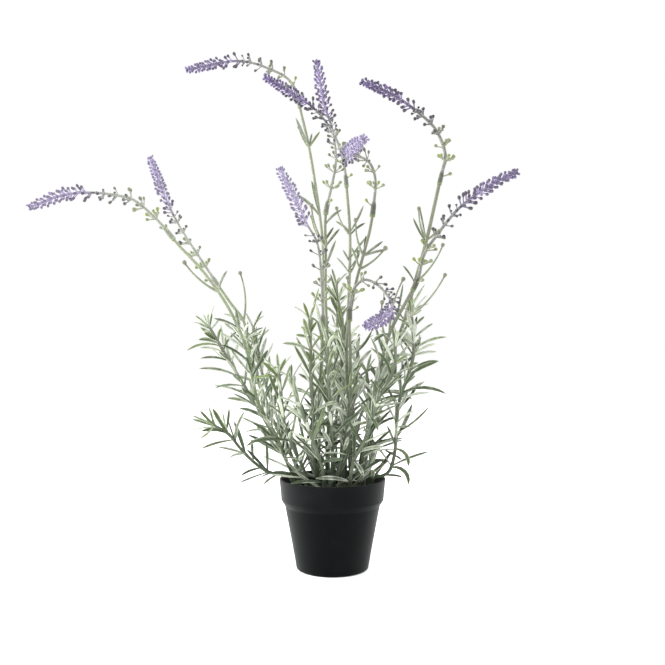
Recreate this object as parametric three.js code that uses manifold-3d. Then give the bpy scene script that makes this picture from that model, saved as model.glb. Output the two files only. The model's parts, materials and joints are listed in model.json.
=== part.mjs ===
// A potted lavender of moulded plastic: a black pot, a dark weighted fill, ten leafy flower
// stems that each carry a push-on flower spike, and leafy shoots without flowers between them.
// Units are millimetres and +Z is up. The origin is the middle of the pot's flat underside,
// +X is to the right and +Y to the back of the plant as it is looked at.

import * as THREE from "three";
import { mergeVertices } from "three/addons/utils/BufferGeometryUtils.js";
import Module from "manifold-3d";

const wasm = await Module();
wasm.setup();

// ---------------------------------------------------------------- driving dimensions

const POT = {
  height: 81,
  rimRadius: 47.7, // outside of the collar, at the top
  collarRadius: 46, // outside of the collar, at its lower edge
  collarFoot: 62.3, // height of the collar's lower edge
  neckRadius: 42.7, // outside of the cone where it meets the collar
  neckHeight: 57,
  baseRadius: 32.5,
  edge: 2.5, // rounding between the wall and the underside
  bevel: 0.8, // on the rim's outer edge
  wall: 1.6,
  floor: 2,
  segments: 28,
};

const FILL = {
  edgeHeight: 67.5, // height of the fill's top against the pot's wall
  crown: 70, // height of its top in the middle
  crownRadius: 28,
};

const GAP = 0.3; // between surfaces that fit into each other

// Stems, sleeves and the rachis inside a flower head are square, as a lavender's stem is.
const CORNERS = 4;
const FACES = [0, 1, 2, 3];
const QUARTER = 360 / CORNERS;

const STEM = {
  foot: 50, // height of the stems' lower ends, inside the fill
  footRadius: 1.7, // from the middle of the stem to its corners
  topRadius: 1.05,
  step: 26, // most that lies between two cross-sections
  smooth: 12, // places worked out along each span of a route
};

const SPIKE = {
  length: 140, // from the sleeve's lower end to the tip
  sleeveRadius: 2.05,
  sleeveLength: 12,
  socketDepth: 6, // how far the stem reaches into the sleeve
  rachisRadius: 1,
  tipRadius: 0.6,
  flowerStart: 82, // where the green buds give way to violet florets
};

const BUD = {
  stalkRadius: 0.55,
  rise: [62, 76], // degrees away from the spike at the stalk's root
  fall: [35, 50], // and at the bud
  root: 1.4, // height of a whorl's roots on the spike
};

// Stalked buds: distance up the spike, how many, length with its stalk, and head radius.
const BUD_WHORLS = [
  { up: 8, count: 1, length: 9.5, head: 1.35 },
  { up: 23, count: 3, length: 11, head: 1.5 },
  { up: 37, count: 2, length: 10.5, head: 1.45 },
  { up: 50, count: 3, length: 10, head: 1.4 },
  { up: 62, count: 2, length: 9.3, head: 1.35 },
  { up: 73, count: 3, length: 8.8, head: 1.3 },
];

const FLORET = {
  whorls: 11,
  lowLength: 8.6,
  topLength: 6,
  headRadius: 1.4,
  topHeadRadius: 1.05,
  lowLean: 64, // degrees away from the rachis at the roots of the lowest florets
  topLean: 46,
  headLean: 35, // degrees away from it at all the heads
};

const LEAF = {
  length: 34,
  tipLength: 23, // length of the youngest leaves
  small: 27, // a leaf shorter than this has one bend
  width: 3.4,
  thickness: 1.1,
  root: 2.2, // height of the leaf's root on the stem
  rise: [36, 60], // degrees away from the stem at the root
  droop: [-24, 50], // degrees that it turns further by its tip
  roll: 45, // most that it rolls about its own length by its tip
  spacing: 19.5, // between one pair of leaves and the next
  firstAbove: 12, // height of the lowest pair above the fill
  belowTuft: 14.6, // between the highest pair and the leaves at a shoot's tip
};

// The leaves round the tip of a shoot.
const TUFT = {
  width: 2.55,
  rise: [20, 34],
  fall: [36, 70],
};

// A side twig is a thin stalk with a bud at its end, and has a small leaf across from it.
const TWIG = {
  radius: 0.7,
  bud: 1.8, // radius of the bud
  straightens: 32, // degrees that it turns back to the stem's direction
  leafLength: 20,
  leafWidth: 2.5,
  leafRise: [30, 45],
  leafFall: [35, 75],
};

// The room that each piece keeps clear of the others.
const ROOM = {
  step: 3, // between the balls that stand for a piece
  spare: 0.6, // least gap between two pieces
  near: 9, // within this of its root a leaf may lie close to its own stem
  sleeve: 3, // radius kept clear round a spike's sleeve, its buds and its florets
  buds: 8.5,
  florets: 6.5,
  aboveFill: 3,
  roundRim: 3.3,
  swings: 7, // places round its stem that a leaf tries
  swing: 9, // degrees between them
};

// ---------------------------------------------------------------- where the stems run

// Each route starts at the fill's surface and goes on to the tip of the stem or spike.
// leafyTo is the height up to which a flower stem has leaves.
// A twig has the height where it leaves the stem, a bearing in degrees (0 is to the right, 90
// to the back and 180 to the left), its length, and the angle at which it leaves the stem.
const FLOWER_STEMS = [
  {
    name: "far_left",
    route: [
      [-25, -8, 70], [-37, -14, 90], [-49, -26, 122], [-64, -36, 152], [-73, -44, 197],
      [-87, -48, 231], [-108, -50, 262], [-131, -50, 287], [-146, -50, 305],
      [-165, -50, 322], [-179, -50, 327], [-203, -49, 330], [-228, -48, 328], [-257, -46, 318],
    ],
    leafyTo: 215,
    twigs: [
      { height: 246, bearing: 180, length: 40, rise: 30 },
    ],
  },
  {
    name: "left_upright",
    route: [
      [-21, 2, 70], [-30, 8, 87], [-46, 18, 113], [-64, 28, 151], [-78, 36, 194],
      [-84, 40, 222], [-97, 42, 240], [-111, 43, 260], [-123, 43, 278], [-145, 43, 312],
      [-157, 42, 336], [-165, 41, 356], [-173, 40, 378],
    ],
    leafyTo: 205,
    twigs: [
      { height: 222, bearing: 10, length: 50, rise: 34 },
    ],
  },
  {
    name: "top_left",
    route: [
      [-14, 10, 70], [-13, 22, 94], [-11, 40, 148], [-10, 58, 205], [-9, 72, 254],
      [-10, 86, 304], [-17, 98, 359], [-24, 104, 401], [-31, 107, 432], [-41, 106, 466],
      [-64, 104, 481], [-98, 100, 488], [-148, 94, 477],
    ],
    leafyTo: 215,
    twigs: [
      { height: 300, bearing: 150, length: 36, rise: 34 },
      { height: 400, bearing: 170, length: 26, rise: 30 },
    ],
  },
  {
    name: "top_middle",
    route: [
      [6, 8, 70], [8, 16, 99], [10, 30, 149], [13, 44, 205], [16, 54, 255], [17, 62, 307],
      [14, 66, 351], [11, 66, 376], [2, 64, 404], [-17, 58, 428], [-41, 52, 443], [-65, 46, 456],
    ],
    leafyTo: 205,
    twigs: [
      { height: 268, bearing: 15, length: 26, rise: 34 },
      { height: 306, bearing: 185, length: 32, rise: 40 },
    ],
  },
  {
    name: "upright",
    route: [
      [-5, -1, 70], [-5, -5, 102], [-3, -11, 152], [-4, -17, 197], [-6, -22, 240],
      [-6, -26, 284], [-6, -28, 314], [-1, -28, 338], [3, -27, 362], [0, -25, 388],
      [-7, -22, 412], [-14, -18, 451],
    ],
    leafyTo: 195,
    twigs: [
      { height: 286, bearing: 175, length: 40, rise: 34 },
      { height: 305, bearing: 180, length: 46, rise: 30 },
    ],
  },
  {
    name: "curled",
    route: [
      [18, -9, 70], [15, -17, 100], [14, -30, 145], [12, -44, 201], [18, -54, 246],
      [25, -60, 274], [31, -64, 297], [34, -67, 318], [35, -72, 337], [30, -80, 349],
      [19, -94, 352], [12, -112, 347], [13, -132, 348], [18, -150, 349], [22, -166, 349],
    ],
    leafyTo: 190,
    twigs: [
      { height: 264, bearing: 0, length: 30, rise: 50 },
      { height: 276, bearing: 180, length: 32, rise: 42 },
    ],
  },
  {
    name: "middle_left",
    route: [
      [-12, -8, 70], [-15, -18, 104], [-12, -34, 154], [-9, -50, 197], [-8, -60, 224],
      [-9, -70, 255], [-12, -78, 283], [-21, -84, 300], [-30, -90, 319], [-42, -96, 342],
    ],
    leafyTo: 165,
    twigs: [],
  },
  {
    name: "top_right",
    route: [
      [28, 6, 70], [31, 8, 101], [38, 12, 141], [49, 18, 182], [64, 24, 215], [78, 30, 262],
      [89, 34, 301], [99, 38, 344], [104, 39, 365], [107, 40, 378], [103, 40, 394],
      [93, 40, 410], [69, 38, 429], [47, 36, 441], [27, 34, 448],
    ],
    leafyTo: 205,
    twigs: [
      { height: 222, bearing: 350, length: 60, rise: 40 },
      { height: 258, bearing: 5, length: 48, rise: 36 },
      { height: 298, bearing: 175, length: 34, rise: 42 },
    ],
  },
  {
    name: "right",
    route: [
      [27, -6, 70], [29, -12, 103], [33, -20, 144], [41, -30, 180], [49, -36, 211],
      [62, -42, 237], [72, -46, 256], [77, -48, 277], [88, -50, 294], [107, -50, 317],
      [133, -49, 336], [156, -48, 348],
    ],
    leafyTo: 190,
    twigs: [
      { height: 204, bearing: 200, length: 38, rise: 40 },
    ],
  },
  {
    name: "drooping",
    route: [
      [11, -18, 70], [9, -26, 101], [14, -40, 146], [15, -52, 189], [14, -62, 218],
      [15, -68, 239], [19, -70, 250], [27, -74, 255], [37, -80, 250], [44, -90, 241],
      [47, -102, 234], [42, -118, 226], [33, -134, 220], [24, -150, 217],
    ],
    leafyTo: 165,
    twigs: [],
  },
];

const LEAFY_SHOOTS = [
  {
    name: "low_left",
    route: [
      [-30, -14, 70], [-38, -19, 86], [-48, -22, 88], [-58, -23, 91], [-70, -24, 100],
      [-81, -26, 112], [-90, -30, 124], [-102, -34, 132],
    ],
  },
  {
    name: "left",
    route: [
      [-29, -3, 70], [-40, -4, 94], [-53, -6, 120], [-68, -8, 147], [-83, -10, 172],
      [-97, -12, 196], [-109, -14, 217],
    ],
  },
  {
    name: "left_back",
    route: [
      [-23, 12, 70], [-33, 20, 87], [-44, 32, 111], [-59, 46, 148], [-70, 54, 180],
      [-76, 58, 205], [-77, 60, 218],
    ],
  },
  {
    name: "left_inner",
    route: [
      [-18, -15, 70], [-25, -28, 93], [-33, -40, 112],
      [-40, -54, 135], [-42, -64, 156], [-44, -72, 180],
    ],
  },
  {
    name: "inner_left",
    route: [
      [-9, -15, 70], [-17, -30, 106], [-16, -44, 138],
      [-18, -56, 168], [-18, -64, 196], [-19, -70, 224],
    ],
  },
  {
    name: "middle_back",
    route: [
      [-2, 16, 70], [-4, 34, 97], [-1, 52, 128], [2, 66, 166],
      [4, 76, 205], [5, 84, 239], [4, 88, 261],
    ],
  },
  {
    name: "middle_front",
    route: [
      [2, -12, 70], [0, -30, 106], [-1, -50, 138], [-3, -66, 169], [-4, -80, 202],
    ],
  },
  {
    name: "middle",
    route: [
      [0, 3, 70], [0, 2, 101], [4, 0, 142], [8, -2, 187], [9, -4, 219], [5, -4, 241],
    ],
  },
  {
    name: "inner_right",
    route: [
      [12, -4, 70], [12, -8, 103], [17, -12, 143], [21, -16, 170], [22, -20, 197],
    ],
  },
  {
    name: "low_right",
    route: [
      [33, -12, 70], [36, -14, 83], [45, -16, 86], [51, -18, 92], [55, -20, 109], [56, -22, 131],
      [59, -24, 155], [66, -24, 174], [71, -24, 195], [70, -24, 215], [69, -24, 229],
    ],
  },
  {
    name: "right_arch",
    route: [
      [33, -1, 70], [34, -4, 102], [37, -6, 138], [42, -8, 155], [51, -10, 164], [59, -12, 175],
      [66, -14, 186], [73, -16, 193],
    ],
  },
  {
    name: "right_middle",
    route: [
      [22, -15, 70], [27, -28, 106], [33, -40, 137], [40, -50, 159],
      [48, -56, 172], [52, -60, 189], [52, -62, 202],
    ],
  },
  {
    name: "right_short",
    route: [
      [22, 3, 70], [26, 2, 101], [33, 1, 128], [34, 2, 150], [32, 4, 164], [31, 6, 177],
    ],
  },
  {
    name: "right_back",
    route: [
      [16, 13, 70], [18, 28, 93], [19, 38, 111], [27, 52, 132],
      [36, 60, 145], [46, 66, 158], [53, 70, 175],
    ],
  },
  {
    name: "back_left",
    route: [
      [-11, 19, 70], [-22, 36, 92], [-30, 56, 118], [-36, 72, 146], [-41, 82, 167],
    ],
  },
  {
    name: "back_right",
    route: [
      [9, 21, 70], [10, 40, 91], [16, 62, 117], [22, 80, 150], [26, 92, 179],
    ],
  },
  {
    name: "front_right",
    route: [
      [14, -27, 70], [17, -44, 99], [25, -62, 119], [30, -78, 137], [35, -90, 154],
    ],
  },
  {
    name: "front_left",
    route: [
      [-6, -27, 70], [-9, -46, 99], [-15, -66, 119], [-21, -82, 138], [-26, -94, 155],
    ],
  },
];

// ---------------------------------------------------------------- small helpers

const radians = THREE.MathUtils.degToRad;
const mix = THREE.MathUtils.lerp;
const between = ([low, high], share) => mix(low, high, share);

// A number from 0 to 1 that depends only on which piece and which of its traits asks for it.
function chance(piece, index, trait) {
  const wave = Math.sin(piece * 127.1 + index * 311.7 + trait * 74.7) * 43758.5453;
  return wave - Math.floor(wave);
}

// The point a + b * m, without changing a or b.
const offset = (a, b, m) => a.clone().addScaledVector(b, m);

// A direction that leans by angle from one unit vector towards another at right angles to it.
const lean = (from, towards, angle) =>
  offset(from.clone().multiplyScalar(Math.cos(angle)), towards, Math.sin(angle));

// A line through places, measured along its length. at(distance) gives the place, the tangent
// and a side direction that doesn't spin round the line.
function measuredLine(places) {
  const last = places.length - 1;
  const reach = [0];
  for (let i = 1; i <= last; i++) reach.push(reach[i - 1] + places[i].distanceTo(places[i - 1]));
  const tangents = places.map((_, i) =>
    places[Math.min(i + 1, last)].clone().sub(places[Math.max(i - 1, 0)]).normalize(),
  );
  const sides = [];
  let side = new THREE.Vector3(1, 0, 0);
  for (const tangent of tangents) {
    side = offset(side, tangent, -side.dot(tangent)).normalize();
    sides.push(side);
  }
  const at = (distance) => {
    let i = 1;
    while (i < last && reach[i] < distance) i++;
    const t = THREE.MathUtils.clamp((distance - reach[i - 1]) / (reach[i] - reach[i - 1]), 0, 1);
    return {
      place: places[i - 1].clone().lerp(places[i], t),
      tangent: tangents[i - 1].clone().lerp(tangents[i], t).normalize(),
      side: sides[i - 1].clone().lerp(sides[i], t).normalize(),
    };
  };
  return { length: reach[last], at };
}

// The line of a stem: straight up out of the fill, and then smoothly through its route.
function stemLine(route) {
  const points = route.map((p) => new THREE.Vector3(...p));
  const foot = points[0].clone().setZ(STEM.foot);
  const curve = new THREE.CatmullRomCurve3(points, false, "catmullrom");
  return measuredLine([foot, ...curve.getPoints(STEM.smooth * (points.length - 1))]);
}

// The distance along a line at which it first reaches a height.
function distanceAtHeight(line, height) {
  for (let s = 0; s < line.length; s += 1) if (line.at(s).place.z >= height) return s;
  return line.length;
}

// The outward direction at a bearing round a line, 0 degrees being along its side direction.
const outwards = ({ tangent, side }, bearing) =>
  lean(side, tangent.clone().cross(side), radians(bearing));

// ---------------------------------------------------------------- skins

// A closed skin of triangles that is built up ring by ring.
class Skin {
  points = [];
  faces = [];

  ring(places) {
    const first = this.points.length;
    this.points.push(...places);
    return places.map((_, k) => first + k);
  }

  // Joins two rings of equally many points, splitting each face between them into triangles.
  join(from, to, forwards = false) {
    from.forEach((a, k) => {
      const next = (k + 1) % from.length;
      const [b, c, d] = [from[next], to[next], to[k]];
      if (forwards) this.faces.push(a, b, d, b, c, d);
      else this.faces.push(a, b, c, a, c, d);
    });
  }

  // Joins a ring to one that stands half a side round from it. Where the list has a growth for
  // the face that stands on the lower ring's corner k, that growth rises in its place.
  joinGrowing(from, to, growths) {
    from.forEach((a, k) => {
      const before = (k + from.length - 1) % from.length;
      const face = [a, to[k], to[before]];
      this.faces.push(a, from[(k + 1) % from.length], to[k]);
      if (growths[k]) this.grow(face, growths[k]);
      else this.faces.push(...face);
    });
  }

  grow(face, { rings, tip }) {
    let from = face;
    for (const places of rings) {
      const to = this.ring(places);
      this.join(from, to);
      from = to;
    }
    this.taper(from, tip);
  }

  taper(from, tip) {
    const [top] = this.ring([tip]);
    from.forEach((a, k) => this.faces.push(a, from[(k + 1) % from.length], top));
  }

  capBelow(from) {
    for (let k = 1; k + 1 < from.length; k++) this.faces.push(from[0], from[k + 1], from[k]);
  }

  capAbove(from) {
    for (let k = 1; k + 1 < from.length; k++) this.faces.push(from[0], from[k], from[k + 1]);
  }

  geometry() {
    return new THREE.BufferGeometry().setFromPoints(this.points).setIndex(this.faces);
  }
}

const corners = (spot, radius, bearing, count = CORNERS) =>
  Array.from({ length: count }, (_, k) =>
    offset(spot.place, outwards(spot, bearing + (360 * k) / count), radius),
  );

// A square rod along a line through rows of { at, radius, bearing, growths }, with a flat end
// or a pointed one. A row with growths has to stand half a side round from the row before it.
function squareRod(line, rows, tip) {
  const skin = new Skin();
  let below = null;
  for (const row of rows) {
    const ring = skin.ring(corners(line.at(row.at), row.radius, row.bearing));
    if (below && row.growths) skin.joinGrowing(below.ring, ring, row.growths);
    else if (below) {
      const shift = Math.round((below.bearing - row.bearing) / QUARTER);
      const turned = ring.map((_, k) => ring[(((k + shift) % CORNERS) + CORNERS) % CORNERS]);
      skin.join(below.ring, turned, row.bearing + shift * QUARTER > below.bearing);
    } else skin.capBelow(ring);
    below = { ring, bearing: row.bearing };
  }
  if (tip) skin.taper(below.ring, tip);
  else skin.capAbove(below.ring);
  return skin.geometry();
}

// Plain rows that fill the stretch up to a distance, none of them more than a step apart.
function plainRows(rows, to, radiusAt) {
  const { at: from, bearing } = rows.at(-1);
  const count = Math.floor((to - from) / STEM.step);
  for (let i = 1; i <= count; i++) {
    const at = mix(from, to, i / (count + 1));
    rows.push({ at, radius: radiusAt(at), bearing });
  }
}

// Two rows round a distance, the upper of them carrying growths.
function growingRows(rows, middle, height, radiusAt, bearing, growths) {
  const [low, high] = [middle - height / 2, middle + height / 2];
  rows.push({ at: low, radius: radiusAt(low), bearing });
  rows.push({ at: high, radius: radiusAt(high), bearing: bearing + QUARTER / 2, growths });
}

// ---------------------------------------------------------------- solids

function solidOf(geometry) {
  const bare = geometry.clone();
  bare.deleteAttribute("normal");
  bare.deleteAttribute("uv");
  const merged = mergeVertices(bare, 1e-4);
  return new wasm.Manifold(
    new wasm.Mesh({
      numProp: 3,
      vertProperties: merged.attributes.position.array,
      triVerts: new Uint32Array(merged.index.array),
    }),
  );
}

function geometryOf(solid) {
  const { numProp, vertProperties, triVerts } = solid.getMesh();
  const faceted = new THREE.BufferGeometry()
    .setAttribute("position", new THREE.BufferAttribute(new Float32Array(vertProperties), numProp))
    .setIndex(new THREE.BufferAttribute(new Uint32Array(triVerts), 1))
    .toNonIndexed();
  faceted.computeVertexNormals();
  return faceted;
}

// ---------------------------------------------------------------- leaves, buds and florets

// The bent centre line of a leaf or twig: it leaves its root at the angle `rise` from the
// direction `along`, leaning to `out`, and has turned to the angle `fall` at its tip.
function bentLine({ root, along, out, length, rise, fall }, t) {
  const turn = fall - rise;
  const angle = rise + turn * t;
  const forward = (length / turn) * (Math.sin(angle) - Math.sin(rise));
  const outward = (length / turn) * (Math.cos(rise) - Math.cos(angle));
  return {
    place: offset(offset(root, along, forward), out, outward),
    heading: lean(along, out, angle),
    under: lean(out, along, -angle),
  };
}

// Three points round a bent line: a keel below and two edges above.
function bladeRing(bend, t, wide, thick) {
  const { place, under } = bentLine(bend, t);
  const across = bend.along.clone().cross(bend.out);
  const edge = lean(across, under, bend.roll * t);
  const keel = lean(under, across, -bend.roll * t);
  const half = (bend.width / 2) * wide;
  const depth = (bend.thickness / 2) * thick;
  const top = offset(place, keel, -depth);
  return [offset(place, keel, depth), offset(top, edge, half), offset(top, edge, -half)];
}

// A narrow keeled blade, widest past its middle. A small one has one ring fewer.
function blade(bend, small = false) {
  const rings = small
    ? [bladeRing(bend, 0.5, 1, 0.9)]
    : [bladeRing(bend, 0.34, 0.88, 1), bladeRing(bend, 0.7, 1, 0.85)];
  return { rings, tip: bentLine(bend, 1).place };
}

// A stalk with a head, such as a bud or a floret, through stations of [share of length, radius].
function club(bend, stations) {
  const rings = stations.map(([t, radius]) => {
    const { place, heading, under } = bentLine(bend, t);
    return corners({ place, tangent: heading, side: under }, radius, 0, 3);
  });
  return { rings, tip: bentLine(bend, 1).place };
}

// ---------------------------------------------------------------- room between the pieces

// Balls that stand for everything placed so far: the piece they belong to, place and radius.
const taken = [];

function takeLine(piece, line, from, to, radius, stem = false) {
  for (let s = from; s <= to; s += ROOM.step) taken.push({ piece, place: line.at(s).place, radius, stem });
}

// A leaf's first balls lie so close to its own stem that only other pieces can be in their way.
function ballsOf(bend, radius) {
  const count = Math.ceil(bend.length / ROOM.step);
  return Array.from({ length: count }, (_, i) => {
    const { place } = bentLine(bend, (i + 1) / count);
    return { place, radius, free: place.distanceTo(bend.root) > ROOM.near };
  });
}

function isClear(piece, balls) {
  return taken.every((other) =>
    balls.every((ball) => {
      const own = other.piece === piece;
      if (own && other.stem && !ball.free) return true;
      const least = ball.radius + other.radius + (own ? 0 : ROOM.spare);
      return ball.place.distanceToSquared(other.place) >= least * least;
    }),
  );
}

// True where a leaf would lie in the fill or touch the pot's rim or wall.
function hitsPot({ place }) {
  const distance = Math.hypot(place.x, place.y);
  if (distance < POT.rimRadius - POT.wall - ROOM.roundRim) return place.z < FILL.crown + ROOM.aboveFill;
  return place.z < POT.height + ROOM.roundRim && distance < POT.rimRadius + ROOM.roundRim;
}

// Turns a leaf about its stem until it has room, and takes that room. Gives null if it has none.
function settle(piece, bend, radius) {
  const across = bend.along.clone().cross(bend.out);
  for (let turn = 0; turn < ROOM.swings; turn++) {
    const angle = radians((turn % 2 ? 1 : -1) * Math.ceil(turn / 2) * ROOM.swing);
    const placed = { ...bend, out: lean(bend.out, across, angle) };
    const balls = ballsOf(placed, radius);
    if (balls.some(hitsPot) || !isClear(piece, balls)) continue;
    taken.push(...balls.map((ball) => ({ piece, ...ball })));
    return placed;
  }
  return null;
}

// ---------------------------------------------------------------- the leaves of one stem

// Pairs of opposite leaves, each pair standing across the one below it.
function leafRows(piece, line, rows, from, to, radiusAt) {
  const count = Math.max(2, Math.round((to - from) / LEAF.spacing));
  const start = QUARTER * chance(piece, 0, 1);
  for (let i = 0; i < count; i++) {
    const share = i / (count - 1);
    const at = mix(from, to, share) + (chance(piece, i, 2) - 0.5) * LEAF.spacing * 0.3;
    const spot = line.at(at);
    const bearing = start + QUARTER * i + 40 * (chance(piece, i, 3) - 0.5);
    const growths = FACES.map((k) => {
      if (k % 2) return null;
      const draw = (trait) => chance(piece, i * CORNERS + k, trait);
      const rise = radians(between(LEAF.rise, draw(4)) * mix(1, 0.8, share));
      const placed = settle(
        piece,
        {
          root: spot.place,
          along: spot.tangent,
          out: outwards(spot, bearing + QUARTER * k),
          length: mix(LEAF.length, LEAF.tipLength, share ** 2) * mix(0.85, 1.2, draw(5)),
          rise,
          fall: rise + radians(between(LEAF.droop, draw(6))),
          roll: radians(mix(-LEAF.roll, LEAF.roll, draw(7))),
          width: LEAF.width * mix(0.85, 1.1, draw(8)),
          thickness: LEAF.thickness,
        },
        LEAF.width / 2,
      );
      return placed && blade(placed, placed.length < LEAF.small);
    });
    if (!growths.some(Boolean)) continue;
    plainRows(rows, at - LEAF.root / 2, radiusAt);
    growingRows(rows, at, LEAF.root, radiusAt, bearing, growths);
  }
}

// Four short leaves round the tip of a shoot. Where other pieces are in the way there are fewer.
function tipLeaves(piece, spot, bearing) {
  const tuft = FACES.map((k) => {
    const draw = (trait) => chance(piece, k, trait);
    return {
      root: spot.place,
      along: spot.tangent,
      out: outwards(spot, bearing + QUARTER * k),
      length: LEAF.tipLength * mix(0.7, 1.05, draw(9)),
      rise: radians(between(TUFT.rise, draw(10))),
      fall: radians(between(TUFT.fall, draw(11))),
      roll: 0,
      width: TUFT.width,
      thickness: LEAF.thickness,
    };
  });
  const room = tuft.map((bend) => ballsOf(bend, TUFT.width / 2));
  const free = room.map((balls) => isClear(piece, balls));
  room.forEach((balls, k) => {
    if (free[k]) taken.push(...balls.map((ball) => ({ piece, ...ball })));
  });
  return tuft.map((bend, k) => (free[k] ? blade(bend, true) : null));
}

// Thin side twigs that end in a bud, each with a small leaf across the stem from it.
function twigRows(piece, line, rows, twigs, radiusAt) {
  twigs.forEach(({ height, bearing, length, rise }, i) => {
    const at = distanceAtHeight(line, height);
    const spot = line.at(at);
    const stem = { root: spot.place, along: spot.tangent, roll: 0, thickness: LEAF.thickness };
    const stalk = {
      ...stem,
      out: outwards(spot, bearing),
      length,
      rise: radians(rise),
      fall: radians(rise - TWIG.straightens),
    };
    const leaf = {
      ...stem,
      out: outwards(spot, bearing + 180),
      length: TWIG.leafLength,
      width: TWIG.leafWidth,
      rise: radians(between(TWIG.leafRise, chance(piece, i, 13))),
      fall: radians(between(TWIG.leafFall, chance(piece, i, 14))),
    };
    const placedStalk = settle(piece, stalk, TWIG.bud);
    const placedLeaf = settle(piece, leaf, TWIG.leafWidth / 2);
    const head = 1 - TWIG.bud / length;
    const stations = [[0.45, TWIG.radius], [head - TWIG.bud / length, TWIG.radius * 0.8], [head, TWIG.bud]];
    const growths = [
      placedStalk && club(placedStalk, stations),
      null,
      placedLeaf && blade(placedLeaf, true),
      null,
    ];
    plainRows(rows, at - LEAF.root / 2, radiusAt);
    growingRows(rows, at, LEAF.root, radiusAt, bearing, growths);
  });
}

// ---------------------------------------------------------------- whole stems

const stemRadius = (end) => (s) => mix(STEM.footRadius, STEM.topRadius, Math.min(1, s / end) ** 0.7);

// The straight foot in the fill, up to its surface.
function footRows(radiusAt) {
  const surface = FILL.crown - STEM.foot;
  return [0, surface].map((at) => ({ at, radius: radiusAt(0), bearing: 0 }));
}

function flowerStem({ piece, line, leafyTo, twigs, spikeStart }) {
  const radiusAt = stemRadius(spikeStart);
  const rows = footRows(radiusAt);
  const from = distanceAtHeight(line, FILL.crown + LEAF.firstAbove);
  leafRows(piece, line, rows, from, distanceAtHeight(line, leafyTo), radiusAt);
  twigRows(piece, line, rows, twigs, radiusAt);
  plainRows(rows, spikeStart - 2, radiusAt);
  rows.push({ at: spikeStart - 2, radius: STEM.topRadius, bearing: 0 });
  rows.push({ at: spikeStart + SPIKE.socketDepth, radius: STEM.topRadius, bearing: 0 });
  return solidOf(squareRod(line, rows));
}

function leafyShoot({ piece, line }) {
  const radiusAt = stemRadius(line.length);
  const rows = footRows(radiusAt);
  const from = distanceAtHeight(line, FILL.crown + LEAF.firstAbove);
  const tuftAt = line.length - LEAF.root;
  const bearing = QUARTER * chance(piece, 0, 12);
  const tuft = tipLeaves(piece, line.at(tuftAt), bearing);
  leafRows(piece, line, rows, from, tuftAt - LEAF.belowTuft, radiusAt);
  growingRows(rows, tuftAt, LEAF.root, radiusAt, bearing, tuft);
  return solidOf(squareRod(line, rows, line.at(line.length).place));
}

// ---------------------------------------------------------------- flower spikes

const rachisRadius = (up) =>
  mix(SPIKE.rachisRadius, SPIKE.tipRadius, (up - SPIKE.sleeveLength) / (SPIKE.length - SPIKE.sleeveLength));

// The green lower piece of a spike: the sleeve, open below for the stem, and whorls of buds.
function budSpray({ piece, line, spikeStart }) {
  const wallGap = GAP * Math.SQRT2;
  const socket = STEM.topRadius + wallGap;
  const rows = [
    { at: spikeStart + SPIKE.socketDepth + GAP, radius: socket, bearing: 0 },
    { at: spikeStart, radius: socket, bearing: 0 },
    { at: spikeStart, radius: SPIKE.sleeveRadius, bearing: 0 },
  ];
  BUD_WHORLS.forEach(({ up, count, length, head }, w) => {
    const spot = line.at(spikeStart + up);
    const bearing = 50 * w + 30 * chance(piece, w, 15);
    const growths = FACES.map((k) => {
      const draw = (trait) => chance(piece, w * CORNERS + k, trait);
      if ((k + w + piece) % CORNERS >= count) return null;
      const bend = {
        root: spot.place,
        along: spot.tangent,
        out: outwards(spot, bearing + QUARTER * k),
        length: length * mix(0.85, 1.15, draw(16)),
        rise: radians(between(BUD.rise, draw(17))),
        fall: radians(between(BUD.fall, draw(18))),
      };
      return club(bend, [[0.6, BUD.stalkRadius], [0.82, head]]);
    });
    const radiusAt = (s) => (up < SPIKE.sleeveLength ? SPIKE.sleeveRadius : rachisRadius(s - spikeStart));
    growingRows(rows, spikeStart + up, BUD.root, radiusAt, bearing, growths);
    if (w > 0) return;
    rows.push({ at: spikeStart + SPIKE.sleeveLength, radius: SPIKE.sleeveRadius, bearing });
    rows.push({ at: spikeStart + SPIKE.sleeveLength + 1, radius: SPIKE.rachisRadius, bearing });
  });
  rows.push({ at: spikeStart + SPIKE.flowerStart, radius: rachisRadius(SPIKE.flowerStart), bearing: 0 });
  return solidOf(squareRod(line, rows));
}

// The violet head: close whorls of club-shaped florets on a thin rachis, up to a pointed tip.
function flowerHead({ piece, line, spikeStart }) {
  const bottom = SPIKE.flowerStart + GAP;
  const pitch = (SPIKE.length - bottom - 2) / FLORET.whorls;
  const rowAt = (w) => bottom + pitch * w;
  const rows = [{ at: spikeStart + bottom, radius: rachisRadius(bottom), bearing: 0 }];
  for (let w = 0; w < FLORET.whorls; w++) {
    const share = w / (FLORET.whorls - 1);
    const spot = line.at(spikeStart + rowAt(w + 0.5));
    const bearing = rows.at(-1).bearing;
    const growths = FACES.map((k) => {
      const draw = (trait) => chance(piece, w * CORNERS + k, trait);
      const bend = {
        root: spot.place,
        along: spot.tangent,
        out: outwards(spot, bearing + QUARTER * k + 12 * (draw(19) - 0.5)),
        length: mix(FLORET.lowLength, FLORET.topLength, share) * mix(0.92, 1.08, draw(20)),
        rise: radians(mix(FLORET.lowLean, FLORET.topLean, share)),
        fall: radians(FLORET.headLean),
      };
      return club(bend, [[0.68, mix(FLORET.headRadius, FLORET.topHeadRadius, share)]]);
    });
    const at = rowAt(w + 1);
    rows.push({ at: spikeStart + at, radius: rachisRadius(at), bearing: bearing + QUARTER / 2, growths });
  }
  return solidOf(squareRod(line, rows, line.at(line.length).place));
}

// ---------------------------------------------------------------- pot and fill

const turnedSolid = (profile) =>
  solidOf(
    new THREE.LatheGeometry(
      profile.map(([r, z]) => new THREE.Vector2(r, z)),
      POT.segments,
    ).rotateX(Math.PI / 2),
  );

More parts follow.
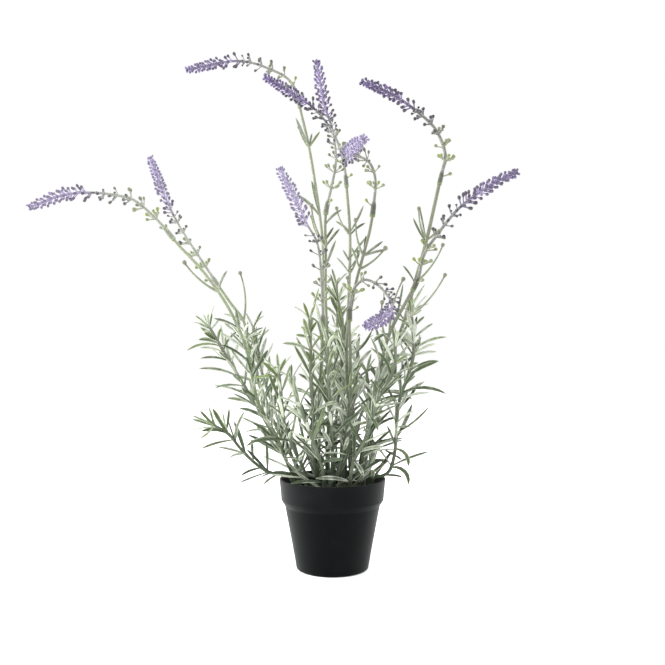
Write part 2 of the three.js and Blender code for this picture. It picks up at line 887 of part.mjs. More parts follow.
function potSolid() {
  const p = POT;
  const corner = new THREE.Path();
  corner.absarc(p.baseRadius - p.edge, p.edge, p.edge, -Math.PI / 2, 0);
  return turnedSolid([
    [0, 0],
    ...corner.getPoints(2).map(({ x, y }) => [x, y]),
    [p.neckRadius, p.neckHeight],
    [p.collarRadius, p.collarFoot],
    [p.rimRadius, p.height - p.bevel],
    [p.rimRadius - p.bevel, p.height],
    [p.rimRadius - p.wall, p.height],
    [p.collarRadius - p.wall, p.collarFoot],
    [p.neckRadius - p.wall, p.neckHeight],
    [p.baseRadius - p.wall, p.floor],
    [0, p.floor],
  ]);
}

// The fill follows the inside of the pot and has a plain hole round the foot of each stem.
function fillSolid(stems) {
  const p = POT;
  const inset = p.wall + GAP;
  const collarSlope = (p.rimRadius - p.collarRadius) / (p.height - p.collarFoot);
  const edgeRadius = p.collarRadius - inset + (FILL.edgeHeight - p.collarFoot) * collarSlope;
  const body = turnedSolid([
    [0, p.floor + GAP],
    [p.baseRadius - inset, p.floor + GAP],
    [p.neckRadius - inset, p.neckHeight],
    [p.collarRadius - inset, p.collarFoot],
    [edgeRadius, FILL.edgeHeight],
    [FILL.crownRadius, FILL.crown],
    [0, FILL.crown],
  ]);
  const wallGap = GAP * Math.SQRT2;
  const holes = stems.map(({ line }) => {
    const { place, side } = line.at(0);
    const tangent = new THREE.Vector3(0, 0, 1);
    const skin = new Skin();
    const [low, high] = [STEM.foot - GAP, FILL.crown + 1].map((z) =>
      skin.ring(corners({ place: place.clone().setZ(z), tangent, side }, STEM.footRadius + wallGap, 0)),
    );
    skin.capBelow(low);
    skin.join(low, high);
    skin.capAbove(high);
    return solidOf(skin.geometry());
  });
  return body.subtract(wasm.Manifold.union(holes));
}

// ---------------------------------------------------------------- the plant

const MATERIALS = {
  pot: new THREE.MeshStandardMaterial({ color: "#24282b", roughness: 0.6, metalness: 0 }),
  fill: new THREE.MeshStandardMaterial({ color: "#2b2622", roughness: 0.95, metalness: 0 }),
  foliage: new THREE.MeshStandardMaterial({ color: "#84946f", roughness: 0.8, metalness: 0 }),
  buds: new THREE.MeshStandardMaterial({ color: "#95a16b", roughness: 0.75, metalness: 0 }),
  florets: new THREE.MeshStandardMaterial({ color: "#7f6bae", roughness: 0.75, metalness: 0 }),
};

function mesh(name, solid, material) {
  const made = new THREE.Mesh(geometryOf(solid), material);
  made.name = name;
  return made;
}

const flowerStems = FLOWER_STEMS.map((stem, i) => {
  const line = stemLine(stem.route);
  return { ...stem, piece: i + 1, line, spikeStart: line.length - SPIKE.length };
});
const shoots = LEAFY_SHOOTS.map((shoot, i) => ({ ...shoot, piece: 31 + i, line: stemLine(shoot.route) }));

// All the stems and spikes take their room first, and the leaves then fill in between them.
for (const { piece, line, spikeStart } of flowerStems) {
  const [sleeveEnd, flowers] = [spikeStart + SPIKE.sleeveLength, spikeStart + SPIKE.flowerStart];
  takeLine(piece, line, 0, spikeStart, STEM.footRadius, true);
  takeLine(piece, line, spikeStart, sleeveEnd, ROOM.sleeve);
  takeLine(piece, line, sleeveEnd, flowers, ROOM.buds);
  takeLine(piece, line, flowers, line.length, ROOM.florets);
}
for (const { piece, line } of shoots) takeLine(piece, line, 0, line.length, STEM.footRadius, true);

const root = new THREE.Group();
const pottedBase = new THREE.Group();
const plant = new THREE.Group();
root.add(pottedBase, plant);

pottedBase.add(mesh("pot", potSolid(), MATERIALS.pot));
pottedBase.add(mesh("potting_fill", fillSolid([...flowerStems, ...shoots]), MATERIALS.fill));

for (const stem of flowerStems) {
  const spray = new THREE.Group();
  spray.add(mesh(`${stem.name}_flower_stem`, flowerStem(stem), MATERIALS.foliage));
  spray.add(mesh(`${stem.name}_bud_spray`, budSpray(stem), MATERIALS.buds));
  spray.add(mesh(`${stem.name}_flower_head`, flowerHead(stem), MATERIALS.florets));
  plant.add(spray);
}
for (const shoot of shoots) {
  plant.add(mesh(`${shoot.name}_leafy_shoot`, leafyShoot(shoot), MATERIALS.foliage));
}

export default root;
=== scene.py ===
"""The finish of the potted lavender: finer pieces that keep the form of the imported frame's solids.

The plant grows by the same rule as the frame's solids do, so that each fine leaf, twig and bud
lies where its plain one does. Lengths are in millimetres until a piece is made, in metres.
"""

import json
import math
from itertools import product

import bmesh
import bpy
import numpy as np
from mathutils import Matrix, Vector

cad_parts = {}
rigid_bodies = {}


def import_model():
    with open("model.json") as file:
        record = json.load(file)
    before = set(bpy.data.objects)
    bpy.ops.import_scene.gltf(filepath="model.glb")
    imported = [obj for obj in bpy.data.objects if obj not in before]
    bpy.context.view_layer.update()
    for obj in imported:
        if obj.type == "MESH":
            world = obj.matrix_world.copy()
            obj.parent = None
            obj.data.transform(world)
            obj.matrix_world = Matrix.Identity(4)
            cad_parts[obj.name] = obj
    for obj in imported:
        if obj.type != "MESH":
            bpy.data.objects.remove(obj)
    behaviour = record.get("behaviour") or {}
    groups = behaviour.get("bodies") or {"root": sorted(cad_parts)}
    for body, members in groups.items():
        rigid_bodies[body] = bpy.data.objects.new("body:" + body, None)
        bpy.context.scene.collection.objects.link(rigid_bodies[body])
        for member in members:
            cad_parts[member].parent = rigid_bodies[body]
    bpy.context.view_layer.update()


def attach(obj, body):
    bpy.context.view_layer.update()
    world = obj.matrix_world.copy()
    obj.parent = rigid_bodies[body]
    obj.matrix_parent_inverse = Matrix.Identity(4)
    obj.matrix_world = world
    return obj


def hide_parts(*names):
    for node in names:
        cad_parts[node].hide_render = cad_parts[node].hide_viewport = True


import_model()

bl_info = {
    "name": "Potted lavender",
    "version": (1, 0, 0),
    "blender": (4, 5, 0),
    "location": "View3D > Sidebar > Lavender",
    "description": "Builds the fine pieces and finishes of a moulded lavender in its pot",
    "category": "Add Mesh",
}

MM = 0.001

# ------------------------------------------------ sizes that the frame's solids also have

POT = {
    "height": 81,
    "rim": 47.7,
    "collar": 46,
    "collar_foot": 62.3,
    "neck": 42.7,
    "neck_height": 57,
    "base": 32.5,
    "edge": 2.5,
    "wall": 1.6,
    "floor": 2,
}
FILL = {"edge_height": 67.5, "crown": 70}
GAP = 0.3
CORNERS = 4
QUARTER = 360 / CORNERS
STEM = {"foot": 50, "foot_radius": 1.7, "top_radius": 1.05, "smooth": 12}
SPIKE = {
    "length": 140,
    "sleeve_radius": 2.05,
    "sleeve_length": 12,
    "socket_depth": 6,
    "rachis_radius": 1,
    "tip_radius": 0.6,
    "flower_start": 82,
}
BUD = {"rise": (62, 76), "fall": (35, 50), "turn": 50, "strays": 30, "lengths": (0.85, 1.15)}
BUD_WHORLS = [  # the solids don't have the last of these, which is of extra buds alone
    {"up": 8, "count": 1, "length": 9.5, "head": 1.35},
    {"up": 23, "count": 3, "length": 11, "head": 1.5},
    {"up": 37, "count": 2, "length": 10.5, "head": 1.45},
    {"up": 50, "count": 3, "length": 10, "head": 1.4},
    {"up": 62, "count": 2, "length": 9.3, "head": 1.35},
    {"up": 73, "count": 3, "length": 8.8, "head": 1.3},
    {"up": 79, "count": 0, "length": 7.8, "head": 1.15},
]
FLORET = {"low_length": 8.6, "top_length": 6, "low_lean": 64, "top_lean": 46, "head_lean": 35}
LEAF = {
    "length": 34,
    "tip_length": 23,
    "lengths": (0.85, 1.2),
    "width": 3.4,
    "widths": (0.85, 1.1),
    "root": 2.2,
    "rise": (36, 60),
    "top_rise": 0.8,
    "droop": (-24, 50),
    "rolls": (36, 58.5),
    "edge_on": math.radians(56),
    "spacing": 19.5,
    "uneven": 0.3,
    "strays": 40,
    "first_above": 12,
    "below_tuft": 14.6,
}
TUFT = {"width": 2.55, "lengths": (0.7, 1.05), "rise": (20, 34), "fall": (36, 70)}
TWIG = {
    "radius": 0.7,
    "bud": 1.8,
    "straightens": 32,
    "leaf_length": 20,
    "leaf_width": 2.5,
    "leaf_rise": (30, 45),
    "leaf_fall": (35, 75),
    "leaf_rolls": (30, 62),
}
ROOM = {
    "step": 3,
    "spare": 0.6,
    "near": 9,
    "sleeve": 3,
    "buds": 8.5,
    "florets": 6.5,
    "above_fill": 3,
    "round_rim": 3.3,
    "swings": 7,
    "swing": 9,
}

# ------------------------------------------------ sizes that only the finer pieces have

# Where a size has two pairs of limits, the first is for the small leaves in the angle of a pair
# of leaves, and the second for those half way to the next pair.
SMALL_LEAF = {
    "length": ((14, 24), (25, 37)),
    "width": ((1.9, 2.6), (2.3, 3.2)),
    "rise": ((14, 30), (17, 36)),
    "top_length": 0.8,
    "droop": (-6, 52),
    "rolls": (45, 65),
    "lowest": (96, 138),
    "above_pair": 1.5,
    "aside": 50,
    "strays": 30,
    "room": 0.9,
}
# How far a listed leaf may move back or forth to find room, how much more it may turn,
# the room that it wants and takes, and how far its face may turn from the front.
BY_HAND = {
    "depths": (0, 4, -4, 8, -8, 12, -12, 16, -16, 20, -20),
    "more_turns": (0, 14, -14),
    "wants": 0.2,
    "takes": 0.6,
    "narrow": 1.6,
    "wide": 3.6,
    "narrow_aside": 55,
    "wide_aside": 20,
    "root_roll": 0.8,
}
# A round stem is so many millimetres stouter at its top than the solid, and a rachis so many
# times as stout.
STOUTER = {"stem": 0.34, "among_buds": 1.4, "among_florets": 1.5}
STEM_TAPER = 0.7
# The slight knots of a stem at its pairs of leaves.
KNOT = {"reach": 1.6, "between": 0.97, "swell": 0.2}
# The flare of a sleeve at its lower end, its rounded lip there, and where it ends on the rachis.
SLEEVE = {"flare": 1.14, "lip": 1.2, "bulge": 0.06, "fades_over": 3, "fades_before": 2}
# A twig's widths and those of its bud, as shares of the solid's; the length of the bud with its
# stalk, and the share of that which stands clear of the twig; and their shifts and heights.
FINE_TWIG = {
    "foot": 1.6,
    "tip": 1.05,
    "bud": 1.1,
    "bud_foot": 0.6,
    "bud_length": 12,
    "joint": 0.8,
    "shift": 0.4,
    "bud_shift": -0.3,
    "rise": 0.8,
    "bud_rise": 0.9,
}
# Beside the solids' buds, the whorls have extra ones. A share of these is skipped, which is
# larger in the lowest whorl.
EXTRA_BUD = {"skipped": 0.14, "skipped_low": 0.85, "aside": (38, 58), "spread": 1.4, "shorter": 0.3}
BUD_HEADS = (1.06, 0.9)  # times the solid's, for a bud and for an extra one
# "kept" is the share of the florets that there are, at the bottom of a head and at its tip. The
# lowest ones are longer up to the share "low", and those past "near_tip" close up.
FINE_FLORET = {
    "kept": (0.45, 1.75),
    "uneven": 0.16,
    "spread": 0.8,
    "twist": 37,
    "lengths": (0.9, 1.12),
    "lowest_length": 1.1,
    "low": 0.25,
    "nods": (0, 26),
    "top_head": 0.84,
    "heads": (0.88, 1.1),
    "below_tip": 3,
    "near_tip": 0.75,
    "tip_rise": 12,
    "tip_fall": 14,
    "tip_head": 0.1,
}
# The florets at the very tip of a head.
CROWN = {"count": 5, "below_tip": 4, "length": 4.6, "rise": 26, "fall": 12, "head": 0.8}
HIGHEST = 260  # height above the fill from which leaves have the finish of the highest
STEM_BLEACHED = 0.7  # the share of its spike's bleaching that a stem has
FRESH = 0.25  # how fresh a green the top of a leafy shoot has
# The round rods of stems, twigs and spikes.
ROD = {
    "sides": 8,
    "ring_step": 3,
    "twig_rings": 10,
    "spray_rings": 56,
    "head_sides": 6,
    "head_rings": 24,
}
# The flare of the pot's lip, the arc of its foot in degrees and steps, and the rings between the
# ends of its wall and of its collar, as shares of the way.
FINE_POT = {
    "flare": 0.02,
    "foot": (-90, -8, 7),
    "wall": (0.06, 0.5, 0.97),
    "collar": (0.08, 0.5, 0.9),
    "lip_steps": 4,
}
FINE_FILL = {"rings": 34, "sides": 160, "middle": 1.5, "steepness": 2.2, "even_edge": 0.5}
SMOOTH = {"leaves": 65, "pot": 35, "fill": 60}  # edges that turn by fewer degrees look smooth
LIGHTS = [  # name, the setting for its power, place, size
    ("key_light", "key", (-1.7, 0.0, 0.9), 1.7),
    ("fill_light", "fill", (1.8, 0.3, 0.9), 1.7),
    ("top_light", "top", (0.2, -0.6, 2.2), 1.6),
    ("left_edge_light", "edge", (-1.38, 0.45, 0.25), 0.9),
]
LIT_PLACE = (0, 0, 0.2)

# ------------------------------------------------ where the stems run

# Routes go from the fill's surface to the tip. "leafy_to" is the height up to which a flower
# stem has leaves, and a twig is its height, bearing, length and the angle at which it leaves.
# "pale" is how much more powder the florets have, and "bleached" the stem and the buds. "full"
# is the size of a spike's buds and florets beside the others'.
FLOWER_STEMS = [
    {
        "name": "far_left",
        "route": [
            (-25, -8, 70), (-37, -14, 90), (-49, -26, 122), (-64, -36, 152), (-73, -44, 197),
            (-87, -48, 231), (-108, -50, 262), (-131, -50, 287), (-146, -50, 305),
            (-165, -50, 322), (-179, -50, 327), (-203, -49, 330), (-228, -48, 328), (-257, -46, 318),
        ],
        "pale": 0.48, "bleached": 0.85, "full": 0.96, "leafy_to": 215, "twigs": [(246, 180, 40, 30)],
    },
    {
        "name": "left_upright",
        "route": [
            (-21, 2, 70), (-30, 8, 87), (-46, 18, 113), (-64, 28, 151), (-78, 36, 194),
            (-84, 40, 222), (-97, 42, 240), (-111, 43, 260), (-123, 43, 278), (-145, 43, 312),
            (-157, 42, 336), (-165, 41, 356), (-173, 40, 378),
        ],
        "pale": 0.62, "bleached": 0.85, "full": 1.06, "leafy_to": 205, "twigs": [(222, 10, 50, 34)],
    },
    {
        "name": "top_left",
        "route": [
            (-14, 10, 70), (-13, 22, 94), (-11, 40, 148), (-10, 58, 205), (-9, 72, 254),
            (-10, 86, 304), (-17, 98, 359), (-24, 104, 401), (-31, 107, 432), (-41, 106, 466),
            (-64, 104, 481), (-98, 100, 488), (-148, 94, 477),
        ],
        "pale": 0.22, "bleached": 0.35, "full": 1.08, "leafy_to": 215,
        "twigs": [(300, 150, 36, 34), (400, 170, 26, 30)],
    },
    {
        "name": "top_middle",
        "route": [
            (6, 8, 70), (8, 16, 99), (10, 30, 149), (13, 44, 205), (16, 54, 255), (17, 62, 307),
            (14, 66, 351), (11, 66, 376), (2, 64, 404), (-17, 58, 428), (-41, 52, 443), (-65, 46, 456),
        ],
        "bleached": 0.25, "full": 1.04, "leafy_to": 205, "twigs": [(268, 15, 26, 34), (306, 185, 32, 40)],
    },
    {
        "name": "upright",
        "route": [
            (-5, -1, 70), (-5, -5, 102), (-3, -11, 152), (-4, -17, 197), (-6, -22, 240),
            (-6, -26, 284), (-6, -28, 314), (-1, -28, 338), (3, -27, 362), (0, -25, 388),
            (-7, -22, 412), (-14, -18, 451),
        ],
        "pale": 0.15, "bleached": 0.35, "full": 0.9, "leafy_to": 195,
        "twigs": [(286, 175, 40, 34), (305, 180, 46, 30)],
    },
    {
        "name": "curled",
        "route": [
            (18, -9, 70), (15, -17, 100), (14, -30, 145), (12, -44, 201), (18, -54, 246),
            (25, -60, 274), (31, -64, 297), (34, -67, 318), (35, -72, 337), (30, -80, 349),
            (19, -94, 352), (12, -112, 347), (13, -132, 348), (18, -150, 349), (22, -166, 349),
        ],
        "pale": 0.95, "full": 0.9, "leafy_to": 190, "twigs": [(264, 0, 30, 50), (276, 180, 32, 42)],
    },
    {
        "name": "middle_left",
        "route": [
            (-12, -8, 70), (-15, -18, 104), (-12, -34, 154), (-9, -50, 197), (-8, -60, 224),
            (-9, -70, 255), (-12, -78, 283), (-21, -84, 300), (-30, -90, 319), (-42, -96, 342),
        ],
        "pale": 0.78, "bleached": 0.3, "full": 0.85, "leafy_to": 165, "twigs": [],
    },
    {
        "name": "top_right",
        "route": [
            (28, 6, 70), (31, 8, 101), (38, 12, 141), (49, 18, 182), (64, 24, 215), (78, 30, 262),
            (89, 34, 301), (99, 38, 344), (104, 39, 365), (107, 40, 378), (103, 40, 394),
            (93, 40, 410), (69, 38, 429), (47, 36, 441), (27, 34, 448),
        ],
        "full": 1.26, "leafy_to": 205, "twigs": [(222, 350, 60, 40), (258, 5, 48, 36), (298, 175, 34, 42)],
    },
    {
        "name": "right",
        "route": [
            (27, -6, 70), (29, -12, 103), (33, -20, 144), (41, -30, 180), (49, -36, 211),
            (62, -42, 237), (72, -46, 256), (77, -48, 277), (88, -50, 294), (107, -50, 317),
            (133, -49, 336), (156, -48, 348),
        ],
        "pale": 0.2, "full": 1.1, "leafy_to": 190, "twigs": [(204, 200, 38, 40)],
    },
    {
        "name": "drooping",
        "route": [
            (11, -18, 70), (9, -26, 101), (14, -40, 146), (15, -52, 189), (14, -62, 218),
            (15, -68, 239), (19, -70, 250), (27, -74, 255), (37, -80, 250), (44, -90, 241),
            (47, -102, 234), (42, -118, 226), (33, -134, 220), (24, -150, 217),
        ],
        "pale": 0.55, "full": 0.88, "leafy_to": 165, "twigs": [],
    },
]
LEAFY_SHOOTS = [
    ("low_left", [
        (-30, -14, 70), (-38, -19, 86), (-48, -22, 88), (-58, -23, 91), (-70, -24, 100),
        (-81, -26, 112), (-90, -30, 124), (-102, -34, 132),
    ]),
    ("left", [
        (-29, -3, 70), (-40, -4, 94), (-53, -6, 120), (-68, -8, 147), (-83, -10, 172),
        (-97, -12, 196), (-109, -14, 217),
    ]),
    ("left_back", [
        (-23, 12, 70), (-33, 20, 87), (-44, 32, 111), (-59, 46, 148), (-70, 54, 180),
        (-76, 58, 205), (-77, 60, 218),
    ]),
    ("left_inner", [
        (-18, -15, 70), (-25, -28, 93), (-33, -40, 112),
        (-40, -54, 135), (-42, -64, 156), (-44, -72, 180),
    ]),
    ("inner_left", [
        (-9, -15, 70), (-17, -30, 106), (-16, -44, 138),
        (-18, -56, 168), (-18, -64, 196), (-19, -70, 224),
    ]),
    ("middle_back", [
        (-2, 16, 70), (-4, 34, 97), (-1, 52, 128), (2, 66, 166),
        (4, 76, 205), (5, 84, 239), (4, 88, 261),
    ]),
    ("middle_front", [
        (2, -12, 70), (0, -30, 106), (-1, -50, 138), (-3, -66, 169), (-4, -80, 202),
    ]),
    ("middle", [
        (0, 3, 70), (0, 2, 101), (4, 0, 142), (8, -2, 187), (9, -4, 219), (5, -4, 241),
    ]),
    ("inner_right", [
        (12, -4, 70), (12, -8, 103), (17, -12, 143), (21, -16, 170), (22, -20, 197),
    ]),
    ("low_right", [
        (33, -12, 70), (36, -14, 83), (45, -16, 86), (51, -18, 92), (55, -20, 109), (56, -22, 131),
        (59, -24, 155), (66, -24, 174), (71, -24, 195), (70, -24, 215), (69, -24, 229),
    ]),
    ("right_arch", [
        (33, -1, 70), (34, -4, 102), (37, -6, 138), (42, -8, 155), (51, -10, 164), (59, -12, 175),
        (66, -14, 186), (73, -16, 193),
    ]),
    ("right_middle", [
        (22, -15, 70), (27, -28, 106), (33, -40, 137), (40, -50, 159),
        (48, -56, 172), (52, -60, 189), (52, -62, 202),
    ]),
    ("right_short", [
        (22, 3, 70), (26, 2, 101), (33, 1, 128), (34, 2, 150), (32, 4, 164), (31, 6, 177),
    ]),
    ("right_back", [
        (16, 13, 70), (18, 28, 93), (19, 38, 111), (27, 52, 132),
        (36, 60, 145), (46, 66, 158), (53, 70, 175),
    ]),
    ("back_left", [
        (-11, 19, 70), (-22, 36, 92), (-30, 56, 118), (-36, 72, 146), (-41, 82, 167),
    ]),
    ("back_right", [
        (9, 21, 70), (10, 40, 91), (16, 62, 117), (22, 80, 150), (26, 92, 179),
    ]),
    ("front_right", [
        (14, -27, 70), (17, -44, 99), (25, -62, 119), (30, -78, 137), (35, -90, 154),
    ]),
    ("front_left", [
        (-6, -27, 70), (-9, -46, 99), (-15, -66, 119), (-21, -82, 138), (-26, -94, 155),
    ]),
]
# The leafy shoots that have a fresher top than the others.
FRESH_SHOOTS = {
    "inner_left": 1, "left_inner": 1, "left": 0.5,
    "low_left": 0.6, "middle_front": 0.7, "right_short": 0.6,
}
# Leaves that are listed stem by stem: the distance of the root along the stem, the place
# of the tip, the degrees through which the leaf bends away from its stem, and its width. A leaf's
# number in the whole table decides its roll, so that a further leaf has to go to the end.
HAND_SET = [
    ("left", [
        (168, (-129, -12, 196), 60, 2.2), (152, (-117, -8, 189), 30, 2.0),
        (136, (-118, -13, 180), 40, 2.4), (116, (-107, -3, 165), 25, 2.4),
        (108, (-94, -14, 154), 20, 3.0), (185, (-116, -12, 228), 10, 1.8),
        (185, (-117, -16, 220), 10, 1.7), (183, (-115, -9, 213), 15, 1.6),
        (185, (-99, -19, 225), -10, 1.8), (187, (-106, -14, 229), 5, 1.6),
        (163, (-83, -9, 214), 50, 2.2), (139, (-94, -13, 194), 5, 3.0),
        (147, (-96, -5, 210), 20, 2.8), (151, (-81, -17, 210), -15, 2.6),
    ]),
    ("left_upright", [(173, (-67, 40, 210), 100, 2.4)]),
    ("left_back", [(141, (-75, 51, 219), 10, 2.8), (149, (-58, 59, 202), -30, 2.2)]),
    ("inner_left", [
        (157, (-41, -69, 203), 40, 2.8), (168, (-30, -67, 210), 20, 2.6),
        (171, (-26, -64, 217), 10, 2.4),
    ]),
    ("low_left", [
        (122, (-121, -37, 141), 15, 2.2), (122, (-115, -28, 144), 5, 2.4),
        (122, (-104, -40, 145), 5, 1.9), (108, (-104, -28, 146), 5, 3.8),
        (111, (-113, -33, 127), 40, 3.2), (110, (-90, -26, 146), -10, 2.2),
        (122, (-114, -39, 121), -20, 2.0), (100, (-114, -28, 111), 25, 2.4),
        (84, (-101, -22, 112), 15, 2.6), (100, (-76, -31, 144), 25, 2.6),
        (98, (-83, -21, 134), -10, 2.3), (74, (-70, -30, 120), 5, 2.8),
        (59, (-58, -21, 116), 5, 2.8), (65, (-80, -25, 87), 35, 2.2), (49, (-61, -17, 78), 30, 2.2),
    ]),
    ("left", [(78, (-72, -11, 131), 20, 2.4), (55, (-70, -5, 117), 20, 2.2)]),
    ("far_left", [(96, (-68, -28, 144), 15, 2.6)]),
    ("left_inner", [
        (142, (-57, -73, 188), 15, 3.0), (143, (-66, -65, 174), 30, 2.4),
        (147, (-38, -78, 191), -5, 2.6),
    ]),
    ("low_right", [
        (190, (78, -22, 232), -5, 2.0), (180, (80, -26, 226), 0, 2.4),
        (181, (63, -19, 222), 5, 1.9), (188, (70, -29, 238), 0, 3.0),
    ]),
    ("top_right", [(183, (90, 26, 239), 35, 2.6)]),
    ("low_right", [
        (170, (88, -21, 220), 15, 2.4), (160, (99, -27, 208), 45, 2.6),
        (161, (78, -18, 208), 0, 3.2), (165, (61, -30, 214), 0, 3.0), (161, (60, -22, 210), 0, 2.6),
        (136, (92, -26, 187), 30, 3.5), (119, (81, -19, 169), 0, 3.2),
        (121, (98, -29, 159), 60, 3.0), (114, (84, -33, 160), 35, 2.4),
        (80, (70, -18, 149), 0, 3.8), (71, (66, -23, 95), 110, 3.6), (54, (67, -12, 77), 110, 3.6),
        (65, (60, -25, 101), 30, 1.9), (43, (62, -14, 84), 40, 2.0), (90, (68, -24, 130), 20, 1.9),
    ]),
    ("right_middle", [(157, (53, -56, 205), 10, 2.2), (148, (62, -64, 193), 30, 2.2)]),
    ("right", [(166, (35, -36, 205), 60, 2.2)]),
    ("low_right", [
        (73, (48, -17, 130), 10, 2.6), (65, (46, -22, 109), 10, 2.0), (120, (58, -18, 177), 5, 3.0),
        (104, (65, -29, 162), -10, 3.0),
    ]),
    ("top_left", [
        (367, (-37, 106, 428), -8, 3.0), (366, (-21, 102, 417), 5, 2.2),
        (303, (-21, 99, 366), -10, 2.6), (292, (-37, 84, 350), 40, 3.2),
    ]),
    ("top_middle", [(236, (10, 58, 292), 5, 2.2), (240, (33, 62, 305), 5, 2.2)]),
    ("curled", [(233, (46, -63, 281), 35, 2.2)]),
    ("top_middle", [(266, (3, 68, 321), 10, 2.3), (266, (30, 56, 335), -15, 2.4)]),
    ("top_right", [
        (257, (76, 36, 320), 5, 2.2), (259, (80, 32, 328), 10, 1.8), (183, (86, 31, 257), -10, 2.4),
    ]),
    ("front_left", [(27, (-42, -30, 104), -60, 2.6), (29, (13, -40, 120), -70, 2.6)]),
    ("front_right", [(27, (34, -33, 112), -60, 2.6)]),
    ("middle_front", [(30, (-14, -38, 118), -50, 2.4)]),
    ("right_middle", [(30, (40, -27, 108), -60, 2.4)]),
    ("left_inner", [(28, (-40, -20, 100), -50, 2.6)]),
    ("top_left", [(291, (-21, 82, 363), -25, 1.8)]),
    ("upright", [(220, (3, -33, 292), 5, 2.4), (225, (-5, -37, 293), 40, 2.0)]),
    ("middle", [(191, (-2, 2, 265), 5, 2.2)]),
    ("curled", [(236, (28, -57, 293), 5, 2.0)]),
    ("top_middle", [(231, (26, 51, 289), -40, 2.4)]),
    # The first of these two finds no room: it is here to keep the numbers of those after it.
    ("inner_left", [(183, (-18, -76, 247), 15, 2.6), (181, (-11, -65, 248), 5, 2.2)]),
    ("right", [(179, (61, -31, 254), 10, 1.8), (166, (35, -46, 204), 60, 2.2)]),
    ("inner_right", [(147, (34, -26, 214), -25, 2.2)]),
    ("low_right", [
        (168, (60, -32, 216), 5, 2.8), (164, (59, -16, 212), 5, 2.2),
        (85, (84, -24, 147), -25, 2.2),
    ]),
]
# Twigs with a bud that are listed in the same way.
HAND_SET_TWIGS = [
    ("top_middle", 199, (14, 38, 265), 40),
    ("right", 166, (61, -44, 259), -30),
]
FIRST_SHOOT = 31  # the number of the first shoot among the pieces that draw chances

# ------------------------------------------------ small helpers


def chance(piece, index, trait):
    """A number from 0 to 1 for a piece, the index of a thing on it, and the trait's number."""
    wave = math.sin(piece * 127.1 + index * 311.7 + trait * 74.7) * 43758.5453
    return wave - math.floor(wave)


def mix(low, high, share):
    return low + (high - low) * share


def drawn(limits, piece, index, trait):
    """A number between two limits, by chance."""
    return mix(*limits, chance(piece, index, trait))


def unit(vectors):
    return vectors / np.linalg.norm(vectors, axis=-1, keepdims=True)


def lean(start, towards, angle):
    """A direction that leans by an angle from one unit vector towards another."""
    angle = np.asarray(angle)[..., None]
    return np.cos(angle) * start + np.sin(angle) * towards


def column(values):
    return np.asarray(values, float)[..., None]


class Line:
    """A line through places, measured along its length, with a side that doesn't spin round it."""

    def __init__(self, places):
        self.places = np.asarray(places, float)
        steps = np.linalg.norm(np.diff(self.places, axis=0), axis=1)
        self.reach = np.concatenate([[0.0], np.cumsum(steps)])
        self.length = float(self.reach[-1])
        ahead = np.vstack([self.places[1:], self.places[-1:]])
        behind = np.vstack([self.places[:1], self.places[:-1]])
        self.tangents = unit(ahead - behind)
        self.sides = np.zeros_like(self.places)
        side = np.array([1.0, 0.0, 0.0])
        for i, tangent in enumerate(self.tangents):
            side = unit(side - tangent * side.dot(tangent))
            self.sides[i] = side

    def at(self, distance):
        """The place, tangent and side at a distance along the line, or at many."""
        i = np.clip(np.searchsorted(self.reach, distance, side="left"), 1, len(self.reach) - 1)
        before, after = self.reach[i - 1], self.reach[i]
        t = column(np.clip((distance - before) / (after - before), 0, 1))
        place = mix(self.places[i - 1], self.places[i], t)
        tangent = unit(mix(self.tangents[i - 1], self.tangents[i], t))
        side = unit(mix(self.sides[i - 1], self.sides[i], t))
        return place, tangent, side

    def at_height(self, height):
        """The first whole distance at which the line reaches a height."""
        distances = np.arange(0, self.length, 1.0)
        high = np.nonzero(self.at(distances)[0][:, 2] >= height)[0]
        return float(distances[high[0]]) if len(high) else self.length


def stem_line(route):
    """Straight up out of the fill, and then smoothly through the route."""
    points = np.asarray(route, float)
    ends = np.vstack([2 * points[0] - points[1], points, 2 * points[-1] - points[-2]])
    smooth = STEM["smooth"]
    places = [points[0] * (1, 1, 0) + (0, 0, STEM["foot"])]
    for i in range(len(points) - 1):
        before, start, end, after = ends[i:i + 4]
        leave, arrive = (end - before) / 2, (after - start) / 2
        for step in range(smooth):
            t = step / smooth
            places.append(
                start + leave * t
                + (3 * (end - start) - 2 * leave - arrive) * t**2
                + (2 * (start - end) + leave + arrive) * t**3
            )
    places.append(points[-1])
    return Line(places)


def outwards(tangent, side, bearing):
    """The outward direction at a bearing round a line, 0 degrees being along its side."""
    return lean(side, np.cross(tangent, side), math.radians(bearing))


def bend_from(spot, bearing, length, rise, fall, **more):
    """An arc from a spot on a line, which it leaves at one angle and ends at another, in degrees."""
    place, tangent, side = spot
    return {
        "root": place,
        "along": tangent,
        "out": outwards(tangent, side, bearing),
        "length": length,
        "rise": math.radians(rise),
        "fall": math.radians(fall),
        **more,
    }


def rolls(limits, share):
    """The roll of a leaf at its root and at its tip, each up to so many degrees either way."""
    at_root, at_tip = (math.radians(mix(-limit, limit, share)) for limit in limits)
    return {"roll_at_root": at_root, "roll": at_tip}


def bent_line(bend, t):
    """Places, headings and undersides along the arc of a leaf, stalk or twig."""
    t = np.asarray(t, float)
    turn = bend["fall"] - bend["rise"]
    angle = bend["rise"] + turn * t
    scale = bend["length"] / turn
    forward = scale * (np.sin(angle) - math.sin(bend["rise"]))
    outward = scale * (math.cos(bend["rise"]) - np.cos(angle))
    place = bend["root"] + column(forward) * bend["along"] + column(outward) * bend["out"]
    heading = lean(bend["along"], bend["out"], angle)
    under = lean(bend["out"], bend["along"], -angle)
    return place, heading, under


# ------------------------------------------------ room between the pieces


